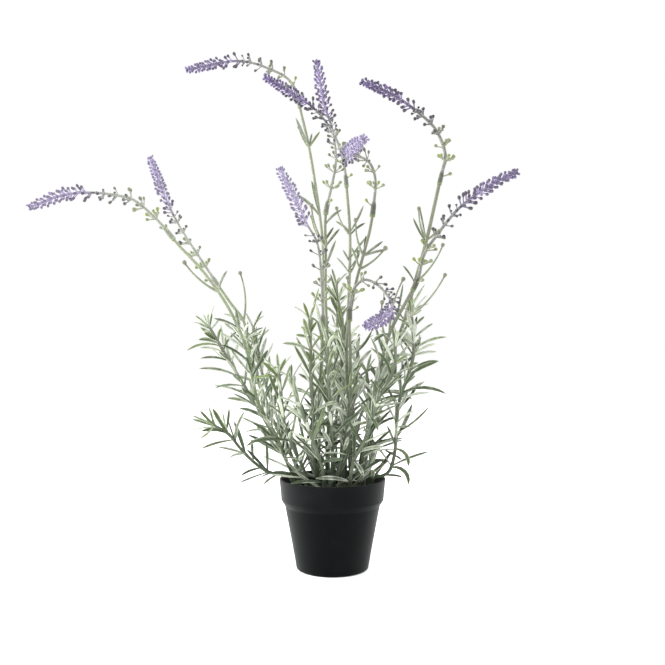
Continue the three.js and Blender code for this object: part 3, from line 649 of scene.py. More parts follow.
class Room:
    """Balls that stand for everything placed so far: their piece, place, radius and kind."""

    def __init__(self):
        self.pieces = np.zeros(0)
        self.places = np.zeros((0, 3))
        self.radii = np.zeros(0)
        self.stems = np.zeros(0, bool)

    def take(self, piece, places, radius, stem=False):
        count = len(places)
        self.pieces = np.append(self.pieces, np.full(count, piece))
        self.places = np.vstack([self.places, places])
        self.radii = np.append(self.radii, np.full(count, radius))
        self.stems = np.append(self.stems, np.full(count, stem))

    def take_line(self, piece, line, start, end, radius, stem=False):
        distances = start + ROOM["step"] * np.arange(int((end - start) // ROOM["step"]) + 1)
        self.take(piece, line.at(distances)[0], radius, stem)

    def is_clear(self, piece, balls, free, radius):
        middle = balls.mean(0)
        reach = np.linalg.norm(balls - middle, axis=1).max() + radius + ROOM["spare"]
        far = ((self.places - middle) ** 2).sum(1) > (reach + self.radii) ** 2
        near = np.nonzero(~far)[0]
        own = self.pieces[near] == piece
        least = radius + self.radii[near] + np.where(own, 0, ROOM["spare"])
        apart = ((balls[:, None] - self.places[near][None]) ** 2).sum(2)
        exempt = (own & self.stems[near])[None] & ~free[:, None]
        return bool(np.all((apart >= least**2) | exempt))

    def settle(self, piece, bend, radius):
        """Turns a leaf about its stem until it has room, and takes that room."""
        across = np.cross(bend["along"], bend["out"])
        for turn in range(ROOM["swings"]):
            angle = math.radians((1 if turn % 2 else -1) * math.ceil(turn / 2) * ROOM["swing"])
            placed = {**bend, "out": lean(bend["out"], across, angle)}
            balls, free = balls_of(placed)
            if hits_pot(balls) or not self.is_clear(piece, balls, free, radius):
                continue
            self.take(piece, balls, radius)
            return placed
        return None


def balls_of(bend):
    count = math.ceil(bend["length"] / ROOM["step"])
    places = bent_line(bend, np.arange(1, count + 1) / count)[0]
    return places, np.linalg.norm(places - bend["root"], axis=1) > ROOM["near"]


def hits_pot(places):
    """True where a leaf would lie in the fill or touch the pot's rim or wall."""
    distance = np.hypot(places[:, 0], places[:, 1])
    inside = distance < POT["rim"] - POT["wall"] - ROOM["round_rim"]
    low = places[:, 2] < POT["height"] + ROOM["round_rim"]
    beside = low & (distance < POT["rim"] + ROOM["round_rim"])
    return bool(np.any(np.where(inside, places[:, 2] < FILL["crown"] + ROOM["above_fill"], beside)))


# ------------------------------------------------ what grows on the stems


def leaf_pairs(room, piece, line, start, end):
    """The leaves of a stem, pair above pair, as the frame's solids have them."""
    count = max(2, math.floor((end - start) / LEAF["spacing"] + 0.5))
    first = QUARTER * chance(piece, 0, 1)
    leaves, roots = [], []
    for i in range(count):
        share = i / (count - 1)
        at = mix(start, end, share) + (chance(piece, i, 2) - 0.5) * LEAF["spacing"] * LEAF["uneven"]
        bearing = first + QUARTER * i + LEAF["strays"] * (chance(piece, i, 3) - 0.5)
        roots.append((at, bearing, share))
        for k in (0, 2):
            draw = i * CORNERS + k
            length = mix(LEAF["length"], LEAF["tip_length"], share**2)
            rise = drawn(LEAF["rise"], piece, draw, 4) * mix(1, LEAF["top_rise"], share)
            bend = bend_from(
                line.at(at),
                bearing + QUARTER * k,
                length * drawn(LEAF["lengths"], piece, draw, 5),
                rise,
                rise + drawn(LEAF["droop"], piece, draw, 6),
                width=LEAF["width"] * drawn(LEAF["widths"], piece, draw, 8),
                **rolls(LEAF["rolls"], chance(piece, draw, 7)),
            )
            placed = room.settle(piece, bend, LEAF["width"] / 2)
            if placed:
                leaves.append(turn_up(placed))
    return leaves, roots


def tip_leaves(room, piece, line, at):
    """Four short leaves round the tip of a shoot, where they have room."""
    bearing = QUARTER * chance(piece, 0, 12)
    tuft = [
        bend_from(
            line.at(at),
            bearing + QUARTER * k,
            LEAF["tip_length"] * drawn(TUFT["lengths"], piece, k, 9),
            drawn(TUFT["rise"], piece, k, 10),
            drawn(TUFT["fall"], piece, k, 11),
            width=TUFT["width"],
        )
        for k in range(CORNERS)
    ]
    radius = TUFT["width"] / 2
    clear = [bend for bend in tuft if room.is_clear(piece, *balls_of(bend), radius)]
    for bend in clear:
        room.take(piece, balls_of(bend)[0], radius)
    return clear


def twigs_of(room, piece, line, twigs):
    """Side twigs that end in a bud, and the small leaf across the stem from each."""
    stalks, leaves = [], []
    for i, (height, bearing, length, rise) in enumerate(twigs):
        spot = line.at(line.at_height(height))
        stalk = bend_from(spot, bearing, length, rise, rise - TWIG["straightens"])
        leaf = bend_from(
            spot,
            bearing + 180,
            TWIG["leaf_length"],
            drawn(TWIG["leaf_rise"], piece, i, 13),
            drawn(TWIG["leaf_fall"], piece, i, 14),
            width=TWIG["leaf_width"],
            **rolls(TWIG["leaf_rolls"], 1),
        )
        stalks.append(room.settle(piece, stalk, TWIG["bud"]))
        leaves.append(room.settle(piece, leaf, TWIG["leaf_width"] / 2))
    return [stalk for stalk in stalks if stalk], [leaf for leaf in leaves if leaf]


def leaf_to(line, at, tip, turn, width):
    """A leaf from a place on its stem to a tip, as the arc that turns by so many degrees, not 0."""
    place, tangent, _ = line.at(at)
    chord = tip - place
    reach = np.linalg.norm(chord)
    ahead = chord.dot(tangent)
    angle, half = math.acos(ahead / reach), math.radians(turn or 1) / 2
    return {
        "root": place,
        "along": tangent,
        "out": unit(chord - tangent * ahead),
        "length": reach * half / math.sin(half),
        "rise": angle - half,
        "fall": angle + half,
        "width": width,
    }


def roll_to_front(bend):
    """The roll that turns a leaf's face to the front, at the middle of its length."""
    under = bent_line(bend, 0.5)[2]
    across = np.cross(bend["along"], bend["out"])
    return math.atan(-across[1] / (under[1] or 1e-6))


def turn_up(bend):
    """Rolls back a leaf that would show nothing but its edge from the front."""
    face = roll_to_front(bend)
    past = (bend["roll"] - face + math.pi / 2) % math.pi - math.pi / 2
    more = np.clip(past, -LEAF["edge_on"], LEAF["edge_on"]) - past
    return {**bend, "roll_at_root": bend["roll_at_root"] + more, "roll": bend["roll"] + more}


def set_by_hand(room, stem, at, tip, turn, width):
    """A listed leaf or twig. Where it has no room, its tip moves back or forth."""
    for depth, more in product(BY_HAND["depths"], BY_HAND["more_turns"]):
        bend = leaf_to(stem["line"], at, np.add(tip, (0, depth, 0)), turn + more, width)
        balls, free = balls_of(bend)
        if room.is_clear(stem["piece"], balls, free, BY_HAND["wants"]) and not hits_pot(balls):
            room.take(stem["piece"], balls, BY_HAND["takes"])
            return bend
    return None


def hand_set_leaves(room, stem):
    """The listed leaves on a stem, turned more or less to the front."""
    leaves = []
    numbered = enumerate((name, *leaf) for name, group in HAND_SET for leaf in group)
    for i, (name, at, tip, turn, width) in numbered:
        bend = set_by_hand(room, stem, at, tip, turn, width) if name == stem["name"] else None
        if bend:
            wide = (width - BY_HAND["narrow"]) / (BY_HAND["wide"] - BY_HAND["narrow"])
            most = mix(BY_HAND["narrow_aside"], BY_HAND["wide_aside"], wide)
            aside = drawn((-1, 1), stem["piece"], i, 37) * most
            roll = roll_to_front(bend) + math.radians(aside)
            leaves.append({**bend, "roll_at_root": roll * BY_HAND["root_roll"], "roll": roll})
    return leaves


def hand_set_twigs(room, stem):
    """The listed twigs on a stem."""
    twigs = [
        set_by_hand(room, stem, at, tip, turn, TWIG["radius"] * 2)
        for name, at, tip, turn in HAND_SET_TWIGS
        if name == stem["name"]
    ]
    return [bend for bend in twigs if bend]


def small_leaves(room, piece, line, roots, end):
    """The fine leaves that fill in a stem: two in the angle of each pair and two between pairs."""
    leaves = []
    for i, (at, bearing, share) in enumerate(roots):
        above = roots[i + 1][0] if i + 1 < len(roots) else end
        for k in range(CORNERS):
            draw = i * CORNERS + k
            half_way = k % 2 == 0
            spot = line.at(mix(at, above, 0.5) if half_way else at + SMALL_LEAF["above_pair"])
            if spot[0][2] < drawn(SMALL_LEAF["lowest"], piece, draw, 38):
                continue
            aside = QUARTER * k + (SMALL_LEAF["aside"] if half_way else 0)
            rise = drawn(SMALL_LEAF["rise"][half_way], piece, draw, 32)
            length = drawn(SMALL_LEAF["length"][half_way], piece, draw, 31)
            bend = bend_from(
                spot,
                bearing + aside + SMALL_LEAF["strays"] * chance(piece, draw, 33),
                length * mix(1, SMALL_LEAF["top_length"], share),
                rise,
                rise + drawn(SMALL_LEAF["droop"], piece, draw, 34),
                width=drawn(SMALL_LEAF["width"][half_way], piece, draw, 36),
                **rolls(SMALL_LEAF["rolls"], chance(piece, draw, 35)),
            )
            placed = room.settle(piece, bend, SMALL_LEAF["room"])
            if placed:
                leaves.append(turn_up(placed))
    return leaves


def grow_plant():
    """All that grows: first the frame's leaves in their order, and then the finer ones."""
    room = Room()
    stems = []
    for i, stem in enumerate(FLOWER_STEMS):
        line = stem_line(stem["route"])
        start = line.length - SPIKE["length"]
        stems.append({**stem, "piece": i + 1, "line": line, "spike": start, "end": start})
    for i, (name, route) in enumerate(LEAFY_SHOOTS):
        line = stem_line(route)
        stems.append({"name": name, "piece": FIRST_SHOOT + i, "line": line, "end": line.length})
    for stem in stems:
        piece, line = stem["piece"], stem["line"]
        room.take_line(piece, line, 0, stem["end"], STEM["foot_radius"], stem=True)
        if "spike" not in stem:
            continue
        start = stem["spike"]
        sleeve, flowers = start + SPIKE["sleeve_length"], start + SPIKE["flower_start"]
        room.take_line(piece, line, start, sleeve, ROOM["sleeve"])
        room.take_line(piece, line, sleeve, flowers, ROOM["buds"])
        room.take_line(piece, line, flowers, line.length, ROOM["florets"])
    for stem in stems:
        piece, line = stem["piece"], stem["line"]
        start = line.at_height(FILL["crown"] + LEAF["first_above"])
        if "spike" in stem:
            end = line.at_height(stem["leafy_to"])
            stem["leaves"], stem["roots"] = leaf_pairs(room, piece, line, start, end)
            stem["twigs"], leaves = twigs_of(room, piece, line, stem["twigs"])
            stem["leaves"] += leaves
        else:
            tuft = line.length - LEAF["root"]
            crown = tip_leaves(room, piece, line, tuft)
            end = tuft - LEAF["below_tuft"]
            stem["leaves"], stem["roots"] = leaf_pairs(room, piece, line, start, end)
            stem["leaves"] += crown
            stem["twigs"] = []
        stem["leafy_end"] = end
    for stem in stems:
        stem["twigs"] += hand_set_twigs(room, stem)
        stem["leaves"] += hand_set_leaves(room, stem)
    for stem in stems:
        piece, line = stem["piece"], stem["line"]
        stem["leaves"] += small_leaves(room, piece, line, stem["roots"], stem["leafy_end"])
    return stems


# ------------------------------------------------ moulds: straight pieces shaped in edit mode

THERE = 1e-3  # how near to a place a vertex of a mould counts as being there
CHANNEL = 0.1  # the height of the upper vertices of a leaf, as a share of the rod's
LOBES = {"from": 0.7, "waist": 0.8}


def deselect_all():
    for obj in bpy.context.view_layer.objects:
        obj.select_set(False)


def choose(obj):
    """Makes an object the only selected and the active one."""
    deselect_all()
    obj.select_set(True)
    bpy.context.view_layer.objects.active = obj


def smooth(obj, degrees, modifier=None):
    """Applies a modifier, and smooths the edges that turn by fewer degrees than that."""
    choose(obj)
    if modifier:
        bpy.ops.object.modifier_apply(modifier=modifier.name)
    bpy.ops.object.shade_smooth_by_angle(angle=math.radians(degrees))


def pick(obj, test):
    """Selects those vertices of the mesh being edited whose place passes the test."""
    bpy.ops.mesh.select_mode(type="VERT")
    bpy.ops.mesh.select_all(action="DESELECT")
    shape = bmesh.from_edit_mesh(obj.data)
    for vertex in shape.verts:
        vertex.select = bool(test(vertex.co))
    shape.select_flush_mode()
    bmesh.update_edit_mesh(obj.data)


def straight_rod(sides, rings):
    """A closed rod of unit radius up the Z axis from 0 to 1, cut into rings."""
    deselect_all()
    bpy.ops.mesh.primitive_cylinder_add(vertices=sides, radius=1, depth=1, location=(0, 0, 0.5))
    bpy.ops.object.transform_apply(location=True)
    rod = bpy.context.object
    bpy.ops.object.mode_set(mode="EDIT")
    bpy.ops.mesh.select_mode(type="EDGE")
    bpy.ops.mesh.select_all(action="DESELECT")
    shape = bmesh.from_edit_mesh(rod.data)
    for edge in shape.edges:
        edge.select = abs(edge.verts[0].co.z - edge.verts[1].co.z) > 0.5
    bmesh.update_edit_mesh(rod.data)
    bpy.ops.mesh.subdivide(number_cuts=rings - 1)
    return rod


def shape_rings(rod, stations):
    """Gives ring after ring its share of the length, its width, and its depth where it differs."""
    last = len(stations) - 1
    for i in list(range(1, last)) + [0, last]:
        width, depth = stations[i][1], stations[i][-1]
        height = i / last
        pick(rod, lambda place: abs(place.z - height) < THERE)
        bpy.ops.transform.resize(value=(width, depth, 1), center_override=(0, 0, height))
    shape = bmesh.from_edit_mesh(rod.data)
    for vertex in shape.verts:
        vertex.co.z = stations[round(vertex.co.z * last)][0]
    bmesh.update_edit_mesh(rod.data)


class Mould:
    """A finished straight piece, kept as arrays that a casting copies and bends."""

    def __init__(self, obj):
        if bpy.context.mode != "OBJECT":
            bpy.ops.object.mode_set(mode="OBJECT")
        mesh = obj.data
        self.places = np.zeros(len(mesh.vertices) * 3)
        mesh.vertices.foreach_get("co", self.places)
        self.places = self.places.reshape(-1, 3)
        self.corners = np.zeros(len(mesh.loops), np.int32)
        mesh.loops.foreach_get("vertex_index", self.corners)
        self.sizes = np.zeros(len(mesh.polygons), np.int32)
        mesh.polygons.foreach_get("loop_total", self.sizes)
        round_it = np.zeros(len(mesh.loops) * 2)
        mesh.uv_layers.active.data.foreach_get("uv", round_it)
        self.uv = np.column_stack([round_it[0::2], self.places[self.corners, 2]])
        bpy.data.objects.remove(obj)


LEAF_RINGS = [  # share of the length, width, depth
    (0.0, 0.5, 1.0), (0.05, 0.42, 1.0), (0.17, 0.62, 1.0), (0.32, 0.86, 1.0), (0.5, 0.97, 0.95),
    (0.68, 1.0, 0.9), (0.83, 0.8, 0.75), (0.93, 0.46, 0.6), (1.0, 0.06, 0.3),
]


def leaf_mould():
    """A narrow blade with a channel above and a keel below."""
    rod = straight_rod(sides=6, rings=len(LEAF_RINGS) - 1)
    shape_rings(rod, LEAF_RINGS)
    edge = math.sin(math.radians(60))
    pick(rod, lambda place: True)
    bpy.ops.transform.resize(value=(0.5 / edge, 0.5, 1), center_override=(0, 0, 0))
    pick(rod, lambda place: place.y > THERE and abs(place.x) < THERE)
    bpy.ops.transform.resize(value=(1, CHANNEL, 1), center_override=(0, 0, 0))
    return Mould(rod)


BUD_RINGS = [  # share of the length, width
    (0.0, 0.52), (0.2, 0.38), (0.6, 0.38), (0.7, 0.56), (0.8, 0.94), (0.88, 1.0), (0.95, 0.86),
    (1.0, 0.5),
]


def bud_mould():
    """A ball on a stalk. Its radius is 1 at its widest."""
    rod = straight_rod(sides=7, rings=len(BUD_RINGS) - 1)
    shape_rings(rod, BUD_RINGS)
    return Mould(rod)


FLORET_RINGS = [  # share of the length, width
    (0.0, 0.5), (0.3, 0.36), (0.55, 0.4), (0.67, 0.72), (0.81, 1.0), (0.92, 0.9), (1.0, 0.45),
]


def floret_mould():
    """A club that opens in four small lobes. Its radius is 1 at its widest."""
    rod = straight_rod(sides=8, rings=len(FLORET_RINGS) - 1)
    shape_rings(rod, FLORET_RINGS)
    pick(rod, lambda place: place.z > LOBES["from"] and min(abs(place.x), abs(place.y)) > THERE)
    waist = LOBES["waist"]
    bpy.ops.transform.resize(value=(waist, waist, 1), center_override=(0, 0, 0))
    return Mould(rod)


def rod_mould(sides, rings):
    """An even rod for a stem or a twig."""
    return Mould(straight_rod(sides, rings))


# ------------------------------------------------ castings: pieces bent out of moulds


class Casting:
    """One piece, gathered from bent copies of moulds. Each copy stays a closed shell of its own."""

    def __init__(self, shift):
        self.places, self.corners, self.sizes, self.uv = [], [], [], []
        self.traits = {"part": [], "tone": [], "rise": [], "shift": []}
        self.shift = shift
        self.count = 0

    def add(self, mould, places, part, tone, rise):
        """Adds a copy of a mould with its vertices at these places, and its traits."""
        self.places.append(places)
        self.corners.append(mould.corners + self.count)
        self.sizes.append(mould.sizes)
        self.uv.append(mould.uv)
        for trait, value in zip(self.traits, (part, tone, rise, self.shift)):
            self.traits[trait].append(np.broadcast_to(np.asarray(value, float), len(places)))
        self.count += len(places)

    def bent(self, mould, bend, width, depth, part, tone, rise):
        """Adds a copy that follows a bend, so wide and so deep, and rolled as the bend says."""
        x, y, t = mould.places.T
        place, heading, under = bent_line(bend, t)
        across = np.cross(bend["along"], bend["out"])
        roll = mix(bend.get("roll_at_root", 0.0), bend.get("roll", 0.0), t)
        edge = lean(across, under, roll)
        keel = lean(under, across, -roll)
        self.add(mould, place + column(x * width) * edge - column(y * depth) * keel, part, tone, rise)

    def along(self, mould, line, start, end, radius_at, part, tone, rise):
        """Adds a copy that follows a stretch of a line, as thick as radius_at says."""
        x, y, t = mould.places.T
        distance = mix(start, end, t)
        place, tangent, side = line.at(distance)
        up = np.cross(tangent, side)
        radius = radius_at(distance)
        self.add(mould, place + column(x * radius) * side + column(y * radius) * up, part, tone, rise)

    def finish(self, name):
        """Makes the gathered copies one mesh object at the origin, in metres."""
        mesh = bpy.data.meshes.new(name)
        places = np.vstack(self.places) * MM
        corners, sizes = np.concatenate(self.corners), np.concatenate(self.sizes)
        mesh.vertices.add(len(places))
        mesh.vertices.foreach_set("co", places.ravel())
        mesh.loops.add(len(corners))
        mesh.loops.foreach_set("vertex_index", corners)
        mesh.polygons.add(len(sizes))
        mesh.polygons.foreach_set("loop_start", np.concatenate([[0], np.cumsum(sizes)[:-1]]))
        mesh.polygons.foreach_set("loop_total", sizes)
        mesh.update(calc_edges=True)
        mesh.uv_layers.new(name="UVMap").data.foreach_set("uv", np.vstack(self.uv).ravel())
        for trait, values in self.traits.items():
            attribute = mesh.attributes.new(trait, "FLOAT", "POINT")
            attribute.data.foreach_set("value", np.concatenate(values).astype(np.float32))
        mesh.validate()
        obj = bpy.data.objects.new(name, mesh)
        bpy.context.scene.collection.objects.link(obj)
        smooth(obj, SMOOTH["leaves"])
        return obj


def settle_in(obj, material, slot, *nodes):
    """Gives a finished piece its material and its place in the frame."""
    obj.data.materials.clear()
    obj.data.materials.append(material)
    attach(obj, "root")
    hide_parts(*nodes)


# ------------------------------------------------ materials


class Wire:
    """A value that runs through a material. Arithmetic on it adds the nodes that work it out."""

    def __init__(self, finish, socket):
        self.finish = finish
        self.socket = socket

    def maths(self, operation, *values):
        return self.finish.node("ShaderNodeMath", {"operation": operation}, dict(enumerate(values)))

    def __add__(self, other):
        return self.maths("ADD", self, other)

    def __radd__(self, other):
        return self.maths("ADD", other, self)

    def __sub__(self, other):
        return self.maths("SUBTRACT", self, other)

    def __rsub__(self, other):
        return self.maths("SUBTRACT", other, self)

    def __mul__(self, other):
        return self.maths("MULTIPLY", self, other)

    def __rmul__(self, other):
        return self.maths("MULTIPLY", other, self)

    def fraction(self):
        return self.maths("FRACT", self)

    def sine(self):
        return self.maths("SINE", self)

    def size(self):
        return self.maths("ABSOLUTE", self)

    def fade(self, low, high):
        """Runs from 0 to 1 as this value goes from low to high, and stays there."""
        sockets = {"Value": self, "From Min": low, "From Max": high}
        settings = {"interpolation_type": "SMOOTHSTEP", "clamp": True}
        return self.finish.node("ShaderNodeMapRange", settings, sockets)


class Finish:
    """A material in the making."""

    def __init__(self, name, roughness=0.7, **constants):
        self.material = bpy.data.materials.new(name)
        self.material.use_nodes = True
        self.tree = self.material.node_tree
        self.shader = self.tree.nodes["Principled BSDF"]
        self.shader.inputs["Roughness"].default_value = roughness
        for socket, value in constants.items():
            title = socket.replace("_", " ").title().replace("Ior", "IOR")
            self.shader.inputs[title].default_value = value

    def node(self, kind, settings=None, sockets=None, output=0):
        """Adds a node: first its settings, then the values or links of its sockets."""
        made = self.tree.nodes.new(kind)
        for setting, value in (settings or {}).items():
            setattr(made, setting, value)
        for socket, value in (sockets or {}).items():
            self.feed(made.inputs[socket], value)
        return Wire(self, made.outputs[output])

    def feed(self, socket, value):
        if isinstance(value, Wire):
            self.tree.links.new(value.socket, socket)
        elif socket.type == "RGBA" and len(value) == 3:
            socket.default_value = (*value, 1)
        else:
            socket.default_value = value

    def trait(self, name):
        """A number that the mesh holds at each of its vertices."""
        settings = {"attribute_name": name, "attribute_type": "GEOMETRY"}
        return self.node("ShaderNodeAttribute", settings, output="Fac")

    def round_and_along(self):
        """The share of the way round a piece and of the way along it."""
        uv = self.node("ShaderNodeUVMap", {"uv_map": "UVMap"})
        split = self.node("ShaderNodeSeparateXYZ", None, {0: uv})
        return split, Wire(self, split.socket.node.outputs[1])

    def traits(self):
        """Whether a vertex is on a leaf or bud, its copy's tone, its height, and its shift."""
        return [self.trait(name) for name in ("part", "tone", "rise", "shift")]

    def noise(self, scale, detail, stretch=(1, 1, 1), roughness=0.55):
        """Noise on the object's coordinates, which gives 0 to 1 about 0.5."""
        place = self.node("ShaderNodeTexCoord", output="Object")
        mapped = self.node("ShaderNodeMapping", None, {"Vector": place, "Scale": stretch})
        sockets = {"Vector": mapped, "Scale": scale, "Detail": detail, "Roughness": roughness}
        return self.node("ShaderNodeTexNoise", None, sockets)

    def mix(self, factor, first, second):
        """A colour between two others."""
        settings = {"data_type": "RGBA", "clamp_factor": True}
        made = self.node("ShaderNodeMix", settings, {0: factor}, output=2)
        self.feed(made.socket.node.inputs[6], first)
        self.feed(made.socket.node.inputs[7], second)
        return made

    def bump(self, height, strength, distance):
        sockets = {"Height": height, "Strength": strength, "Distance": distance}
        self.feed(self.shader.inputs["Normal"], self.node("ShaderNodeBump", None, sockets))

    def surface(self, colour, roughness=None):
        self.feed(self.shader.inputs["Base Color"], colour)
        if roughness is not None:
            self.feed(self.shader.inputs["Roughness"], roughness)
        return self.material


def colour_property(name, description, default):
    return bpy.props.FloatVectorProperty(
        name=name, description=description, subtype="COLOR", size=3, min=0, max=1, default=default
    )


def power_property(name, description, default):
    return bpy.props.FloatProperty(name=name, description=description, unit="POWER", default=default)


def length_property(name, description, default):
    return bpy.props.FloatProperty(
        name=name, description=description, unit="LENGTH", min=0, precision=5, default=default
    )


class PotSettings(bpy.types.PropertyGroup):
    """The pot and its fill"""

    sides: bpy.props.IntProperty(
        name="Sides", description="Faces round the pot's wall", min=24, max=256, default=128
    )
    lip: length_property("Lip", "Rounding of the rim's edges and of the collar", 0.0005)
    grain: length_property("Grain", "Height of the grain on the fill's surface", 0.0014)
    plastic: colour_property("Plastic", "Colour of the pot", (0.0004, 0.0008, 0.001))
    # The dust colour also paints the collar lighter than the body below it, as painted shade on the body.
    dust: colour_property("Dust", "Colour of the dust and scuffs on the pot", (0.013, 0.0145, 0.015))
    soil: colour_property("Fill", "Colour of the fill", (0.018, 0.015, 0.012))
    crumbs: colour_property("Crumbs", "Colour of the palest crumbs on the fill", (0.07, 0.058, 0.043))


class FoliageSettings(bpy.types.PropertyGroup):
    """Stems, leaves and twigs"""

    depth: length_property("Leaf depth", "From the leaf's margins to its keel", 0.0015)
    green: colour_property("Green", "Colour of the plastic under the powder", (0.074, 0.1, 0.055))
    fresh: colour_property("Fresh green", "Colour of young leaf tips", (0.15, 0.198, 0.075))
    # Painted shade: this green darkens the stems and leaves low down and in the leaves' channels.
    painted_shade: colour_property("Shade green", "Colour low down and in the channels", (0.033, 0.044, 0.03))
    powder: colour_property("Powder", "Colour of the powder on grey leaves", (0.4, 0.428, 0.365))
    tinted: colour_property("Tinted powder", "Colour of the powder on green leaves", (0.37, 0.406, 0.317))
    high_leaf: colour_property("High leaves", "Colour of the highest leaves' powder", (0.175, 0.192, 0.142))
    stem: colour_property("Stem", "Colour of the powder high on the stems", (0.184, 0.184, 0.14))
    low_stem: colour_property("Low stem", "Colour of the powder low on stems", (0.15, 0.168, 0.132))
    powdered: bpy.props.FloatProperty(
        name="Powdered", description="How much powder there is", subtype="FACTOR", default=0.5
    )


class FlowerSettings(bpy.types.PropertyGroup):
    """Flower spikes"""

    whorls: bpy.props.IntProperty(
        name="Whorls", description="Whorls of florets on a head", min=6, max=30, default=19
    )
    per_whorl: bpy.props.IntProperty(
        name="Florets", description="Florets in a whorl", min=3, max=12, default=4
    )
    head: length_property("Floret radius", "Radius of the lowest florets' heads", 0.00145)
    violet: colour_property("Violet", "Colour of the floret heads", (0.067, 0.053, 0.09))
    husk: colour_property("Husk", "Colour of the lowest florets' heads", (0.055, 0.049, 0.056))
    lavender: colour_property("Lavender", "Colour of florets near the tip", (0.165, 0.128, 0.25))
    core: colour_property("Core", "Colour of the rachis between the florets", (0.13, 0.102, 0.192))
    calyx: colour_property("Calyx", "Colour of the florets' stalks", (0.265, 0.222, 0.368))
    bloom: colour_property("Bloom", "Colour of the powder on the palest florets", (0.44, 0.41, 0.52))
    bud_green: colour_property("Bud green", "Colour of the lowest buds", (0.17, 0.195, 0.108))
    bud_fresh: colour_property("Fresh bud", "Colour of the greenest buds", (0.182, 0.222, 0.06))
    bud_dark: colour_property("Dark bud", "Colour of the buds below the florets", (0.05, 0.045, 0.058))
    lip: colour_property("Sleeve lip", "Colour of the sleeve's lower end", (0.115, 0.15, 0.065))
    sleeve: colour_property("Sleeve", "Colour of the sleeve", (0.068, 0.073, 0.054))
    rachis: colour_property("Rachis", "Colour of the rachis between the buds", (0.162, 0.166, 0.148))
    stalk: colour_property("Stalk", "Colour of the buds' stalks", (0.22, 0.236, 0.165))
    ripe_stalk: colour_property("Ripe stalk", "Colour of the upper buds' stalks", (0.14, 0.125, 0.155))


class StageSettings(bpy.types.PropertyGroup):
    """Floor, lights and camera"""

    floor: colour_property("Floor", "Colour of the floor", (0.97, 0.97, 0.97))
    floor_radius: length_property("Floor radius", "Radius of the round floor", 3.0)
    key: power_property("Key light", "Power of the large light", 60)
    fill: power_property("Fill light", "Power of the light on the other side", 42)
    top: power_property("Top light", "Power of the light from above", 35)
    edge: power_property("Edge light", "Power of the low light behind the left", 26)
    sky: bpy.props.FloatProperty(
        name="Surrounding light", description="Strength of the light from all round", default=1.0
    )
    eye: bpy.props.FloatVectorProperty(
        name="Camera", description="Place of the camera", subtype="TRANSLATION", size=3,
        default=(0, -0.777, 0.212),
    )
    view_angle: bpy.props.FloatProperty(
        name="View angle", description="Angle that the camera takes in", subtype="ANGLE",
        default=math.radians(42.16),
    )


# The bare numbers in these finishes are weights, and the values between which another one fades.


def foliage_finish():
    """Green plastic with a pale powder that lies unevenly, thin on the fresh tips, with painted shade low
    down and in the leaves' channels and a painted highlight on their margins.
    """
    sizes = bpy.context.scene.lavender_foliage
    finish = Finish("powdered_green", specular_ior_level=0.12)
    part, tone, rise, shift = finish.traits()
    turn, along = finish.round_and_along()
    margin = (turn * math.tau).sine().size()
    under = (turn * math.tau + math.pi / 2).sine().fade(0.3, -0.3) * part
    blotches = finish.noise(160, detail=2)
    speckle = finish.noise(1400, detail=2)
    place = finish.node("ShaderNodeCombineXYZ", None, {0: turn * 14, 1: along * 3 + tone * 40})
    sockets = {"Vector": place, "Scale": 1, "Detail": 2}
    fibres = finish.node("ShaderNodeTexNoise", {"noise_dimensions": "2D"}, sockets)
    leaf_tip = along.fade(0.55, 1.0) * part
    lie = sizes.powdered + (blotches - 0.5) * 0.9 + (speckle - 0.5) * (part * 0.5 + 0.3)
    lie = lie + (tone - 0.5) * (part * 0.85 + 0.15) + (fibres - 0.5) * (part * 0.4 + 0.2)
    # Painted highlight: the margin term gives the leaves' edges more powder, so they look paler.
    lie = lie + (margin - 0.6) * part * 0.5 + under * 0.2 - leaf_tip * 0.2 - shift * 0.3
    # Painted shade: the powder thins low down, towards the fill.
    lie = lie - (1 - rise.fade(0.0, 0.3)) * 0.3
    powder = lie.fade(0.1, 0.9)
    young = leaf_tip * tone.fade(0.45, 1.0) + (tone * 3.7).fraction().fade(0.78, 0.85) * part * 0.7
    green = finish.mix(young + shift * 0.9, sizes.green, sizes.fresh)
    # Painted shade: stems and leaves are mixed towards the shade green low down, towards the fill.
    green = finish.mix((1 - rise.fade(0.0, 0.45)) * 0.65, green, sizes.painted_shade)
    # Painted shade: the middle of each leaf's channel is darkened, less so high up.
    channel = (1 - margin.fade(0.0, 0.4)) * part * (0.75 - rise.fade(0.4, 0.85) * 0.5)
    green = finish.mix(channel, green, sizes.painted_shade)
    stem = finish.mix(rise.fade(0.2, 0.9), sizes.low_stem, sizes.stem)
    stem = finish.mix(shift, stem, sizes.tinted)
    green = finish.mix((1 - part) * rise.fade(0.1, 0.7) * 0.4, green, stem)
    tint = (fibres * 0.5 + (tone * 7.3).fraction() * 0.5 + shift * 0.4).fade(0.3, 0.7)
    powdery = finish.mix(tint, sizes.powder, sizes.tinted)
    powdery = finish.mix(rise.fade(0.5, 0.85) * 0.8, powdery, sizes.high_leaf)
    dust = finish.mix(part, stem, powdery)
    colour = finish.mix(powder, green, dust)
    finish.bump(fibres * 0.6 + speckle * 0.4, 0.35, 0.0003)
    return finish.surface(colour, speckle * 0.2 + powder * 0.15 + 0.5)


